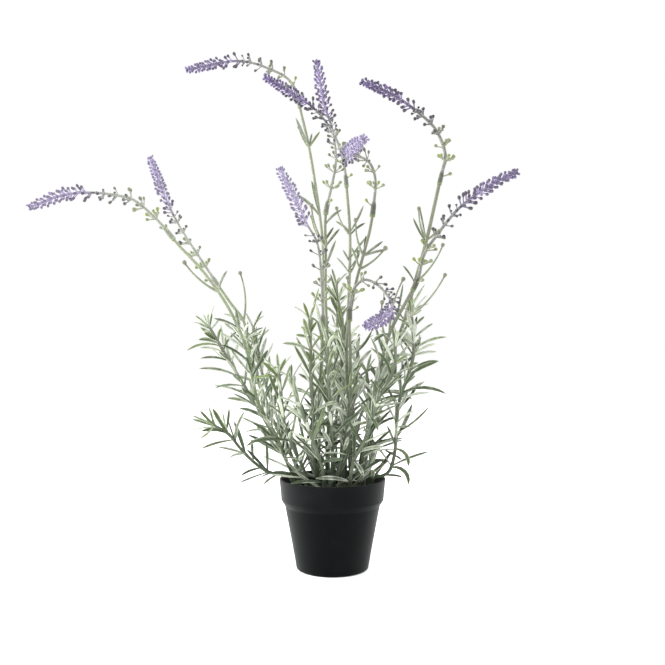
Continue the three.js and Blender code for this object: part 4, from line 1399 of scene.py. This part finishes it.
def bud_finish():
    """Pale green stalks, and buds that turn from yellow-green to grey-violet up the spike."""
    sizes = bpy.context.scene.lavender_flowers
    finish = Finish("green_buds", specular_ior_level=0.15)
    part, tone, rise, bleached = finish.traits()
    along = finish.round_and_along()[1]
    speckle = finish.noise(1500, detail=2)
    blotches = finish.noise(260, detail=2)
    ripe = (rise + (tone - 0.5) * 0.35 + (blotches - 0.5) * 0.3).fade(0.28, 0.8)
    head = along.fade(0.6, 0.74) * part
    unripe = finish.mix(tone.fade(0.45, 0.7), sizes.bud_green, sizes.bud_fresh)
    ball = finish.mix(ripe, unripe, sizes.bud_dark)
    stalk = finish.mix(ripe * 0.7 + rise.fade(0.6, 1.0) * 0.3, sizes.stalk, sizes.ripe_stalk)
    rachis = finish.mix(rise.fade(0.12, 0.17), sizes.sleeve, sizes.rachis)
    rachis = finish.mix(rise.fade(0.04, 0.01), rachis, sizes.lip)
    rachis = finish.mix(rise.fade(0.75, 1.1) * 0.6, rachis, sizes.bud_dark)
    stalk = finish.mix(part, rachis, stalk)
    colour = finish.mix(head, stalk, ball)
    foliage = bpy.context.scene.lavender_foliage
    dusted = (speckle + blotches - 1).fade(0.0, 0.4) * 0.6
    colour = finish.mix(dusted * (1 - rise.fade(0.17, 0.12) * 0.6), colour, foliage.powder)
    colour = finish.mix(bleached * (0.4 - head * 0.35), colour, foliage.powder)
    finish.bump(speckle, 0.3, 0.0002)
    return finish.surface(colour, speckle * 0.25 + 0.45)


def floret_finish():
    """Violet heads on paler stalks, lighter and warmer towards the tip of the spike."""
    sizes = bpy.context.scene.lavender_flowers
    finish = Finish("violet_florets", specular_ior_level=0.15)
    part, tone, rise, pale = finish.traits()
    along = finish.round_and_along()[1]
    speckle = finish.noise(1600, detail=2)
    light = ((tone - 0.5) * 0.8 + (speckle - 0.5) * 0.8 + 0.2 + rise * 0.3).fade(0.0, 1.0)
    head = along.fade(0.52, 0.74) * part
    ball = finish.mix(light, sizes.violet, sizes.lavender)
    ball = finish.mix(rise.fade(0.7, 0.0) * (tone * 0.5 + 0.5), ball, sizes.husk)
    stalk = finish.mix(rise.fade(0.5, 1.0) * 0.6, sizes.calyx, sizes.lavender)
    stalk = finish.mix(part, sizes.core, stalk)
    stalk = finish.mix(rise.fade(0.22, 0.0) * 0.85, stalk, sizes.husk)
    colour = finish.mix(head, stalk, ball)
    low = rise.fade(0.45, 0.0)
    colour = finish.mix(pale * (0.75 - head * (low * 0.25 + 0.4)), colour, sizes.bloom)
    neck = (1 - part) * rise.fade(0.3, 0.1) * pale
    colour = finish.mix(neck, colour, sizes.rachis)
    finish.bump(speckle, 0.3, 0.0002)
    return finish.surface(colour, speckle * 0.25 + 0.45)


def pot_finish():
    """Black plastic with a fine moulded grain, and some dust and scuffs; the body below the collar is
    painted darker than the collar, as painted shade.
    """
    sizes = bpy.context.scene.lavender_pot
    finish = Finish(
        "black_plastic",
        specular_ior_level=0.05,
        specular_tint=(0.92, 1, 1.02, 1),
        sheen_weight=0.1,
        sheen_roughness=0.4,
    )
    grain = finish.noise(2600, detail=2)
    clouds = finish.noise(26, detail=4)
    scuffs = finish.noise(70, detail=5, stretch=(1, 1, 3.5), roughness=0.7)
    place = finish.node("ShaderNodeTexCoord", output="Object")
    height = finish.node("ShaderNodeSeparateXYZ", None, {0: place}, output=2)
    # Painted shade: below the collar the pot gets less of the dust colour and the collar more, so the body
    # looks darker.
    collar = height.fade((POT["collar_foot"] - 1) * MM, (POT["collar_foot"] + 1) * MM)
    dust = (clouds - 0.5).fade(-0.05, 0.3) * 0.25 + (scuffs - 0.5).fade(0.13, 0.25) * 0.35
    dust = dust * (collar * 0.4 + 0.6) + collar * 0.1
    colour = finish.mix(dust, sizes.plastic, sizes.dust)
    finish.bump(grain * 0.7 + scuffs * 0.3, 0.25, 0.0002)
    return finish.surface(colour, clouds * 0.2 + grain * 0.12 + 0.36)


def fill_finish():
    """Dark crumbs, some of them paler."""
    sizes = bpy.context.scene.lavender_pot
    finish = Finish("dark_fill")
    coarse = finish.noise(330, detail=4)
    fine = finish.noise(1500, detail=3)
    pale = (coarse * 0.6 + fine * 0.4 - 0.5).fade(0.03, 0.22)
    colour = finish.mix(pale * 0.8, sizes.soil, sizes.crumbs)
    finish.bump(coarse * 0.6 + fine * 0.4, 0.8, 0.0006)
    return finish.surface(colour, fine * 0.2 + 0.75)


# ------------------------------------------------ pieces


def stem_radius(end, full):
    """The radius from the middle of a stem to its corners, at distances along it."""
    def radius_at(distance):
        share = np.clip(distance / end, 0, 1) ** STEM_TAPER
        return mix(STEM["foot_radius"], (STEM["top_radius"] + STOUTER["stem"]) * full, share)
    return radius_at


def knotted(radius_at, roots):
    """A stem's radius with a slight knot at each pair of leaves."""
    def with_knots(distance):
        knots = sum(np.exp(-(((distance - at) / KNOT["reach"]) ** 2)) for at, _, _ in roots)
        return radius_at(distance) * (KNOT["between"] + KNOT["swell"] * np.minimum(knots, 1))
    return with_knots


def rachis_radius(stem, up, stouter):
    """The radius of a spike's rachis at a height above the spike's lower end."""
    share = (up - SPIKE["sleeve_length"]) / (SPIKE["length"] - SPIKE["sleeve_length"])
    return mix(SPIKE["rachis_radius"], SPIKE["tip_radius"], share) * stouter * stem["full"]


_moulds = {}


def mould_of(maker, *sizes):
    """A mould, made the first time that it is asked for."""
    key = (maker.__name__, *sizes)
    if key not in _moulds:
        _moulds[key] = maker(*sizes)
    return _moulds[key]


def cast_foliage(stem, name):
    """One stem with its leaves and twigs."""
    depth = bpy.context.scene.lavender_foliage.depth / MM
    piece, line = stem["piece"], stem["line"]
    end = stem["spike"] + SPIKE["socket_depth"] if "spike" in stem else line.length
    fresh = 0 if "spike" in stem else FRESH_SHOOTS.get(stem["name"], FRESH)
    casting = Casting(stem.get("bleached", 0) * STEM_BLEACHED)
    rod = mould_of(rod_mould, ROD["sides"], math.ceil(end / ROD["ring_step"]))
    radius_at = knotted(stem_radius(stem["end"], stem.get("full", 1)), stem["roots"])
    heights = line.at(rod.places[:, 2] * end)[0][:, 2] - FILL["crown"]
    rises = np.clip(heights / HIGHEST, 0, 1)
    casting.along(rod, line, 0, end, radius_at, 0, chance(piece, 0, 41), rises)
    leaf = mould_of(leaf_mould)
    tallest = line.places[-1, 2] - FILL["crown"]
    for i, bend in enumerate(stem["leaves"]):
        height = bend["root"][2] - FILL["crown"]
        casting.shift = fresh * np.clip(height / tallest, 0, 1) ** 2
        rise = np.clip(height / HIGHEST, 0, 1)
        casting.bent(leaf, bend, bend["width"], depth, 1, chance(piece, i, 42), rise)
    for i, bend in enumerate(stem["twigs"]):
        cast_twig(casting, bend, chance(piece, i, 43))
    return casting.finish(name)


def cast_twig(casting, bend, tone):
    """A twig, paler than its stem, and the bud at its end, darker."""
    twig = mould_of(rod_mould, ROD["sides"], ROD["twig_rings"])
    ball = mould_of(bud_mould)
    sizes = FINE_TWIG
    thin = TWIG["radius"] * mix(sizes["foot"], sizes["tip"], twig.places[:, 2])
    foot = np.where(ball.places[:, 2] < 0.1, sizes["bud_foot"], 1)
    thick = TWIG["bud"] * sizes["bud"] * foot
    bud = sizes["bud_length"] / bend["length"]
    joint = 1 - bud * sizes["joint"]
    angle = mix(bend["rise"], bend["fall"], 1 - bud)
    fall = mix(bend["rise"], bend["fall"], joint)
    casting.shift = sizes["shift"]
    lower = {**bend, "length": bend["length"] * joint, "fall": fall}
    casting.bent(twig, lower, thin, thin, 0, tone, sizes["rise"])
    casting.shift = sizes["bud_shift"]
    root = bent_line(bend, 1 - bud)[0]
    upper = {**bend, "root": root, "length": sizes["bud_length"], "rise": angle}
    casting.bent(ball, upper, thick, thick, 0, tone, sizes["bud_rise"])


def cast_bud_spray(stem, name):
    """The lower piece of a spike: the sleeve, the rachis and the stalked buds."""
    piece, line, start = stem["piece"], stem["line"], stem["spike"]
    casting = Casting(stem.get("bleached", 0))

    def radius_at(distance):
        up = distance - start
        sleeve = SPIKE["sleeve_radius"] * mix(SLEEVE["flare"], 1, up / SPIKE["sleeve_length"])
        lip = np.sin(np.clip(up / SLEEVE["lip"], 0, 1) * math.pi)
        fade = (up - SPIKE["sleeve_length"] + SLEEVE["fades_before"]) / SLEEVE["fades_over"]
        sleeve = sleeve * (1 + SLEEVE["bulge"] * lip)
        return mix(sleeve, rachis_radius(stem, up, STOUTER["among_buds"]), np.clip(fade, 0, 1))

    rod = mould_of(rod_mould, ROD["sides"], ROD["spray_rings"])
    rings = rod.places[:, 2]
    casting.along(rod, line, start, start + SPIKE["flower_start"], radius_at, 0, 0.5, rings)
    ball = mould_of(bud_mould)
    for w, whorl in enumerate(BUD_WHORLS):
        place, tangent, side = line.at(start + whorl["up"])
        bearing = BUD["turn"] * w + BUD["strays"] * chance(piece, w, 15)
        skipped = EXTRA_BUD["skipped" if w else "skipped_low"]
        for k, extra in product(range(CORNERS), (0, 1)):
            draw = w * CORNERS + k
            if not extra and (k + w + piece) % CORNERS >= whorl["count"]:
                continue
            if extra and chance(piece, draw, 51) < skipped:
                continue
            up = EXTRA_BUD["spread"] * (chance(piece, draw, 53) - 0.5)
            length = whorl["length"] * drawn(BUD["lengths"], piece, draw, 16)
            bend = bend_from(
                (place + tangent * extra * up, tangent, side),
                bearing + QUARTER * k + extra * drawn(EXTRA_BUD["aside"], piece, draw, 52),
                length * (1 - EXTRA_BUD["shorter"] * extra * chance(piece, draw, 54)),
                drawn(BUD["rise"], piece, draw, 17),
                drawn(BUD["fall"], piece, draw, 18),
            )
            head = whorl["head"] * BUD_HEADS[extra] * stem["full"]
            rise = whorl["up"] / SPIKE["flower_start"]
            casting.bent(ball, bend, head, head, 1, chance(piece, draw, 55 + extra), rise)
    return casting.finish(name)


def cast_flower_head(stem, name):
    """The violet piece of a spike: whorls of florets on the rachis, up to a pointed tip."""
    sizes = bpy.context.scene.lavender_flowers
    piece, line, start = stem["piece"], stem["line"], stem["spike"]
    casting = Casting(stem.get("pale", 0))
    bottom = SPIKE["flower_start"] + GAP

    def radius_at(distance):
        return rachis_radius(stem, distance - start, STOUTER["among_florets"])

    rod = mould_of(rod_mould, ROD["head_sides"], ROD["head_rings"])
    rings = rod.places[:, 2]
    casting.along(rod, line, start + bottom, line.length - 1, radius_at, 0, 0.5, rings)
    floret = mould_of(floret_mould)
    pitch = (SPIKE["length"] - bottom - FINE_FLORET["below_tip"]) / sizes.whorls
    for w, k in product(range(sizes.whorls), range(sizes.per_whorl)):
        share = w / (sizes.whorls - 1)
        draw = w * sizes.per_whorl + k
        if chance(piece, draw, 68) > mix(*FINE_FLORET["kept"], share):
            continue
        place, tangent, side = line.at(start + bottom + pitch * (w + 0.5))
        up = FINE_FLORET["spread"] * (chance(piece, draw, 62) - 0.5)
        step = k + (w % 2) / 2 + FINE_FLORET["uneven"] * (chance(piece, draw, 61) - 0.5)
        near_tip = max(0, share - FINE_FLORET["near_tip"]) / (1 - FINE_FLORET["near_tip"])
        length = mix(FLORET["low_length"], FLORET["top_length"], share)
        length *= mix(FINE_FLORET["lowest_length"], 1, min(1, share / FINE_FLORET["low"]))
        nod = FLORET["head_lean"] + drawn(FINE_FLORET["nods"], piece, draw, 64)
        bend = bend_from(
            (place + tangent * up, tangent, side),
            step * 360 / sizes.per_whorl + piece * FINE_FLORET["twist"],
            length * drawn(FINE_FLORET["lengths"], piece, draw, 63),
            mix(FLORET["low_lean"], FLORET["top_lean"], share) - FINE_FLORET["tip_rise"] * near_tip,
            nod - FINE_FLORET["tip_fall"] * near_tip,
        )
        head = sizes.head / MM * mix(1, FINE_FLORET["top_head"], share)
        head *= drawn(FINE_FLORET["heads"], piece, draw, 65)
        head *= stem["full"] * (1 - FINE_FLORET["tip_head"] * near_tip)
        casting.bent(floret, bend, head, head, 1, chance(piece, draw, 66), share)
    spot = line.at(line.length - CROWN["below_tip"])
    for k in range(CROWN["count"]):
        bearing = 360 / CROWN["count"] * k
        bend = bend_from(spot, bearing, CROWN["length"], CROWN["rise"], CROWN["fall"])
        casting.bent(floret, bend, CROWN["head"], CROWN["head"], 1, chance(piece, k, 67), 1)
    return casting.finish(name)


def turned(name, profile, sides):
    """A body turned about the pot's axis: a disc that is extruded from place to place."""
    deselect_all()
    radius, height = profile[0]
    bpy.ops.mesh.primitive_circle_add(
        vertices=sides, radius=radius * MM, fill_type="NGON", location=(0, 0, height * MM)
    )
    bpy.ops.object.transform_apply(location=True)
    obj = bpy.context.object
    obj.name = obj.data.name = name
    bpy.ops.object.mode_set(mode="EDIT")
    bpy.ops.mesh.select_mode(type="FACE")
    bpy.ops.mesh.select_all(action="SELECT")
    for r, z in profile[1:]:
        up = {"value": (0, 0, (z - height) * MM)}
        bpy.ops.mesh.extrude_region_move(TRANSFORM_OT_translate=up)
        share = r / radius
        bpy.ops.transform.resize(value=(share, share, 1), center_override=(0, 0, z * MM))
        radius, height = r, z
    bpy.ops.mesh.select_all(action="SELECT")
    bpy.ops.mesh.normals_make_consistent(inside=False)
    bpy.ops.object.mode_set(mode="OBJECT")
    return obj


def arc(middle_radius, middle_height, radius, start, end, steps):
    """Places on an arc of a profile, from one angle to another."""
    angles = [math.radians(mix(start, end, i / steps)) for i in range(steps + 1)]
    return [
        (middle_radius + radius * math.cos(a), middle_height + radius * math.sin(a)) for a in angles
    ]


def between_places(start, end, shares):
    """Places on the straight stretch of a profile between two others."""
    return [(mix(start[0], end[0], share), mix(start[1], end[1], share)) for share in shares]


def make_pot():
    """The pot: rounded foot, cone, chamfer, collar and lip, and the inside down to its floor."""
    sizes = bpy.context.scene.lavender_pot
    p = POT
    lip = sizes.lip / MM
    outer = p["rim"] + (p["rim"] - p["collar"]) * FINE_POT["flare"]
    foot = (p["base"], p["edge"])
    neck = (p["neck"], p["neck_height"])
    collar = (p["collar"], p["collar_foot"])
    profile = [
        *arc(p["base"] - p["edge"], p["edge"], p["edge"], *FINE_POT["foot"]),
        *between_places(foot, neck, FINE_POT["wall"]),
        neck,
        collar,
        *between_places(collar, (outer, p["height"]), FINE_POT["collar"]),
        *arc(outer - lip, p["height"] - lip, lip, 0, 90, FINE_POT["lip_steps"]),
        *arc(p["rim"] - p["wall"] + lip, p["height"] - lip, lip, 90, 180, FINE_POT["lip_steps"]),
        (p["collar"] - p["wall"], p["collar_foot"]),
        (p["neck"] - p["wall"], p["neck_height"]),
        (p["base"] - p["wall"], p["floor"]),
    ]
    pot = turned("moulded_pot", profile, sizes.sides)
    bevel = pot.modifiers.new("edges", "BEVEL")
    bevel.width = 0.0009
    bevel.segments = 3
    bevel.limit_method = "ANGLE"
    bevel.angle_limit = math.radians(18)
    bevel.harden_normals = True
    smooth(pot, SMOOTH["pot"], bevel)
    return pot


def make_fill():
    """The fill: its plain body, and a crumbly top that lies a little uneven."""
    sizes = bpy.context.scene.lavender_pot
    p = POT
    inset = p["wall"] + GAP
    slope = (p["rim"] - p["collar"]) / (p["height"] - p["collar_foot"])
    edge = p["collar"] - inset + (FILL["edge_height"] - p["collar_foot"]) * slope
    crown = []
    for i in range(FINE_FILL["rings"] + 1):
        share = i / FINE_FILL["rings"]
        rise = min(1, share * FINE_FILL["steepness"])
        height = mix(FILL["edge_height"], FILL["crown"], rise)
        crown.append((mix(edge, FINE_FILL["middle"], share), height))
    profile = [
        (p["base"] - inset, p["floor"] + GAP),
        (p["neck"] - inset, p["neck_height"]),
        (p["collar"] - inset, p["collar_foot"]),
        *crown,
    ]
    fill = turned("crumbly_fill", profile, FINE_FILL["sides"])
    crumbs = bpy.data.textures.new("crumbs", "CLOUDS")
    crumbs.noise_scale = 0.0045
    crumbs.noise_depth = 3
    top = fill.vertex_groups.new(name="top")
    inner = (edge - FINE_FILL["even_edge"]) * MM
    for vertex in fill.data.vertices:
        if vertex.co.z > (FILL["edge_height"] - 0.01) * MM and math.hypot(*vertex.co.xy) < inner:
            top.add([vertex.index], 1.0, "REPLACE")
    displace = fill.modifiers.new("crumbs", "DISPLACE")
    displace.texture = crumbs
    displace.texture_coords = "LOCAL"
    displace.direction = "Z"
    displace.strength = sizes.grain
    displace.mid_level = 0.6
    displace.vertex_group = "top"
    smooth(fill, SMOOTH["fill"], displace)
    return fill


# ------------------------------------------------ the operators


_plant = []


def plant():
    """The stems and all that grows on them, worked out once."""
    if not _plant:
        _plant.extend(grow_plant())
    return _plant


def cast_all(flowering, cast, ending, material, slot, node):
    """Casts a piece for each stem that has flowers, or for each that has none."""
    for stem in plant():
        if ("spike" in stem) == flowering:
            piece = cast(stem, f"{stem['name']}_{ending}")
            settle_in(piece, material, slot, f"{stem['name']}_{node}")
    return {"FINISHED"}


class LAVENDER_OT_pot(bpy.types.Operator):
    """Make the black pot"""

    bl_idname = "lavender.pot"
    bl_label = "Pot"

    def execute(self, context):
        settle_in(make_pot(), pot_finish(), "pot_plastic", "pot")
        return {"FINISHED"}


class LAVENDER_OT_fill(bpy.types.Operator):
    """Make the fill that holds the stems"""

    bl_idname = "lavender.fill"
    bl_label = "Potting fill"

    def execute(self, context):
        settle_in(make_fill(), fill_finish(), "potting_fill", "potting_fill")
        return {"FINISHED"}


class LAVENDER_OT_flower_stems(bpy.types.Operator):
    """Make the stems that carry the spikes, with their leaves and twigs"""

    bl_idname = "lavender.flower_stems"
    bl_label = "Flower stems"

    def execute(self, context):
        material = foliage_finish()
        return cast_all(True, cast_foliage, "stem_and_leaves", material, "foliage", "flower_stem")


class LAVENDER_OT_leafy_shoots(bpy.types.Operator):
    """Make the leafy shoots that carry no flowers"""

    bl_idname = "lavender.leafy_shoots"
    bl_label = "Leafy shoots"

    def execute(self, context):
        material = bpy.data.materials.get("powdered_green") or foliage_finish()
        return cast_all(False, cast_foliage, "shoot", material, "foliage", "leafy_shoot")


class LAVENDER_OT_bud_sprays(bpy.types.Operator):
    """Make the sleeves and the green buds of the spikes"""

    bl_idname = "lavender.bud_sprays"
    bl_label = "Sleeves and buds"

    def execute(self, context):
        return cast_all(True, cast_bud_spray, "buds", bud_finish(), "buds", "bud_spray")


class LAVENDER_OT_flower_heads(bpy.types.Operator):
    """Make the violet heads of the spikes"""

    bl_idname = "lavender.flower_heads"
    bl_label = "Flower heads"

    def execute(self, context):
        material = floret_finish()
        return cast_all(True, cast_flower_head, "florets", material, "florets", "flower_head")


class LAVENDER_OT_stage(bpy.types.Operator):
    """Make the floor, the lights and the camera"""

    bl_idname = "lavender.stage"
    bl_label = "Stage"

    def execute(self, context):
        sizes = context.scene.lavender_stage
        deselect_all()
        bpy.ops.mesh.primitive_circle_add(
            vertices=96, radius=sizes.floor_radius, fill_type="NGON", location=(0, 0, 0)
        )
        floor = context.object
        floor.name = "floor"
        finish = Finish("pale_floor", roughness=0.9)
        floor.data.materials.append(finish.surface(tuple(sizes.floor)))
        world = bpy.data.worlds.new("studio")
        world.use_nodes = True
        sky = world.node_tree.nodes["Background"].inputs
        sky["Color"].default_value = (1, 1, 1, 1)
        sky["Strength"].default_value = sizes.sky
        context.scene.world = world
        for name, power, place, size in LIGHTS:
            light = bpy.data.lights.new(name, "AREA")
            light.energy = getattr(sizes, power)
            light.size = size
            lamp = bpy.data.objects.new(name, light)
            context.scene.collection.objects.link(lamp)
            lamp.location = place
            aim = Vector(LIT_PLACE) - lamp.location
            lamp.rotation_euler = aim.to_track_quat("-Z", "Y").to_euler()
        camera = bpy.data.objects.new("camera", bpy.data.cameras.new("camera"))
        context.scene.collection.objects.link(camera)
        camera.data.sensor_width = 36
        camera.data.angle = sizes.view_angle
        camera.location = sizes.eye
        camera.rotation_euler = (math.radians(90), 0, 0)
        context.scene.camera = camera
        context.scene.view_settings.view_transform = "Standard"
        return {"FINISHED"}


class LAVENDER_PT_panel(bpy.types.Panel):
    """The pieces of the potted lavender"""

    bl_idname = "LAVENDER_PT_panel"
    bl_label = "Potted lavender"
    bl_space_type = "VIEW_3D"
    bl_region_type = "UI"
    bl_category = "Lavender"

    def draw(self, context):
        for operator in OPERATORS:
            self.layout.operator(operator.bl_idname)
        for group in SETTINGS:
            box = self.layout.box()
            settings = getattr(context.scene, group)
            for name in settings.bl_rna.properties.keys():
                if name not in ("rna_type", "name"):
                    box.prop(settings, name)


OPERATORS = (
    LAVENDER_OT_stage,
    LAVENDER_OT_pot,
    LAVENDER_OT_fill,
    LAVENDER_OT_flower_stems,
    LAVENDER_OT_leafy_shoots,
    LAVENDER_OT_bud_sprays,
    LAVENDER_OT_flower_heads,
)
SETTINGS = {
    "lavender_pot": PotSettings,
    "lavender_foliage": FoliageSettings,
    "lavender_flowers": FlowerSettings,
    "lavender_stage": StageSettings,
}


def register():
    for group in (*SETTINGS.values(), *OPERATORS, LAVENDER_PT_panel):
        bpy.utils.register_class(group)
    for name, group in SETTINGS.items():
        setattr(bpy.types.Scene, name, bpy.props.PointerProperty(type=group))


def unregister():
    for name in SETTINGS:
        delattr(bpy.types.Scene, name)
    for group in reversed((*SETTINGS.values(), *OPERATORS, LAVENDER_PT_panel)):
        bpy.utils.unregister_class(group)


def main():
    register()
    for operator in OPERATORS:
        group, name = operator.bl_idname.split(".")
        getattr(getattr(bpy.ops, group), name)()


if __name__ == "__main__":
    main()
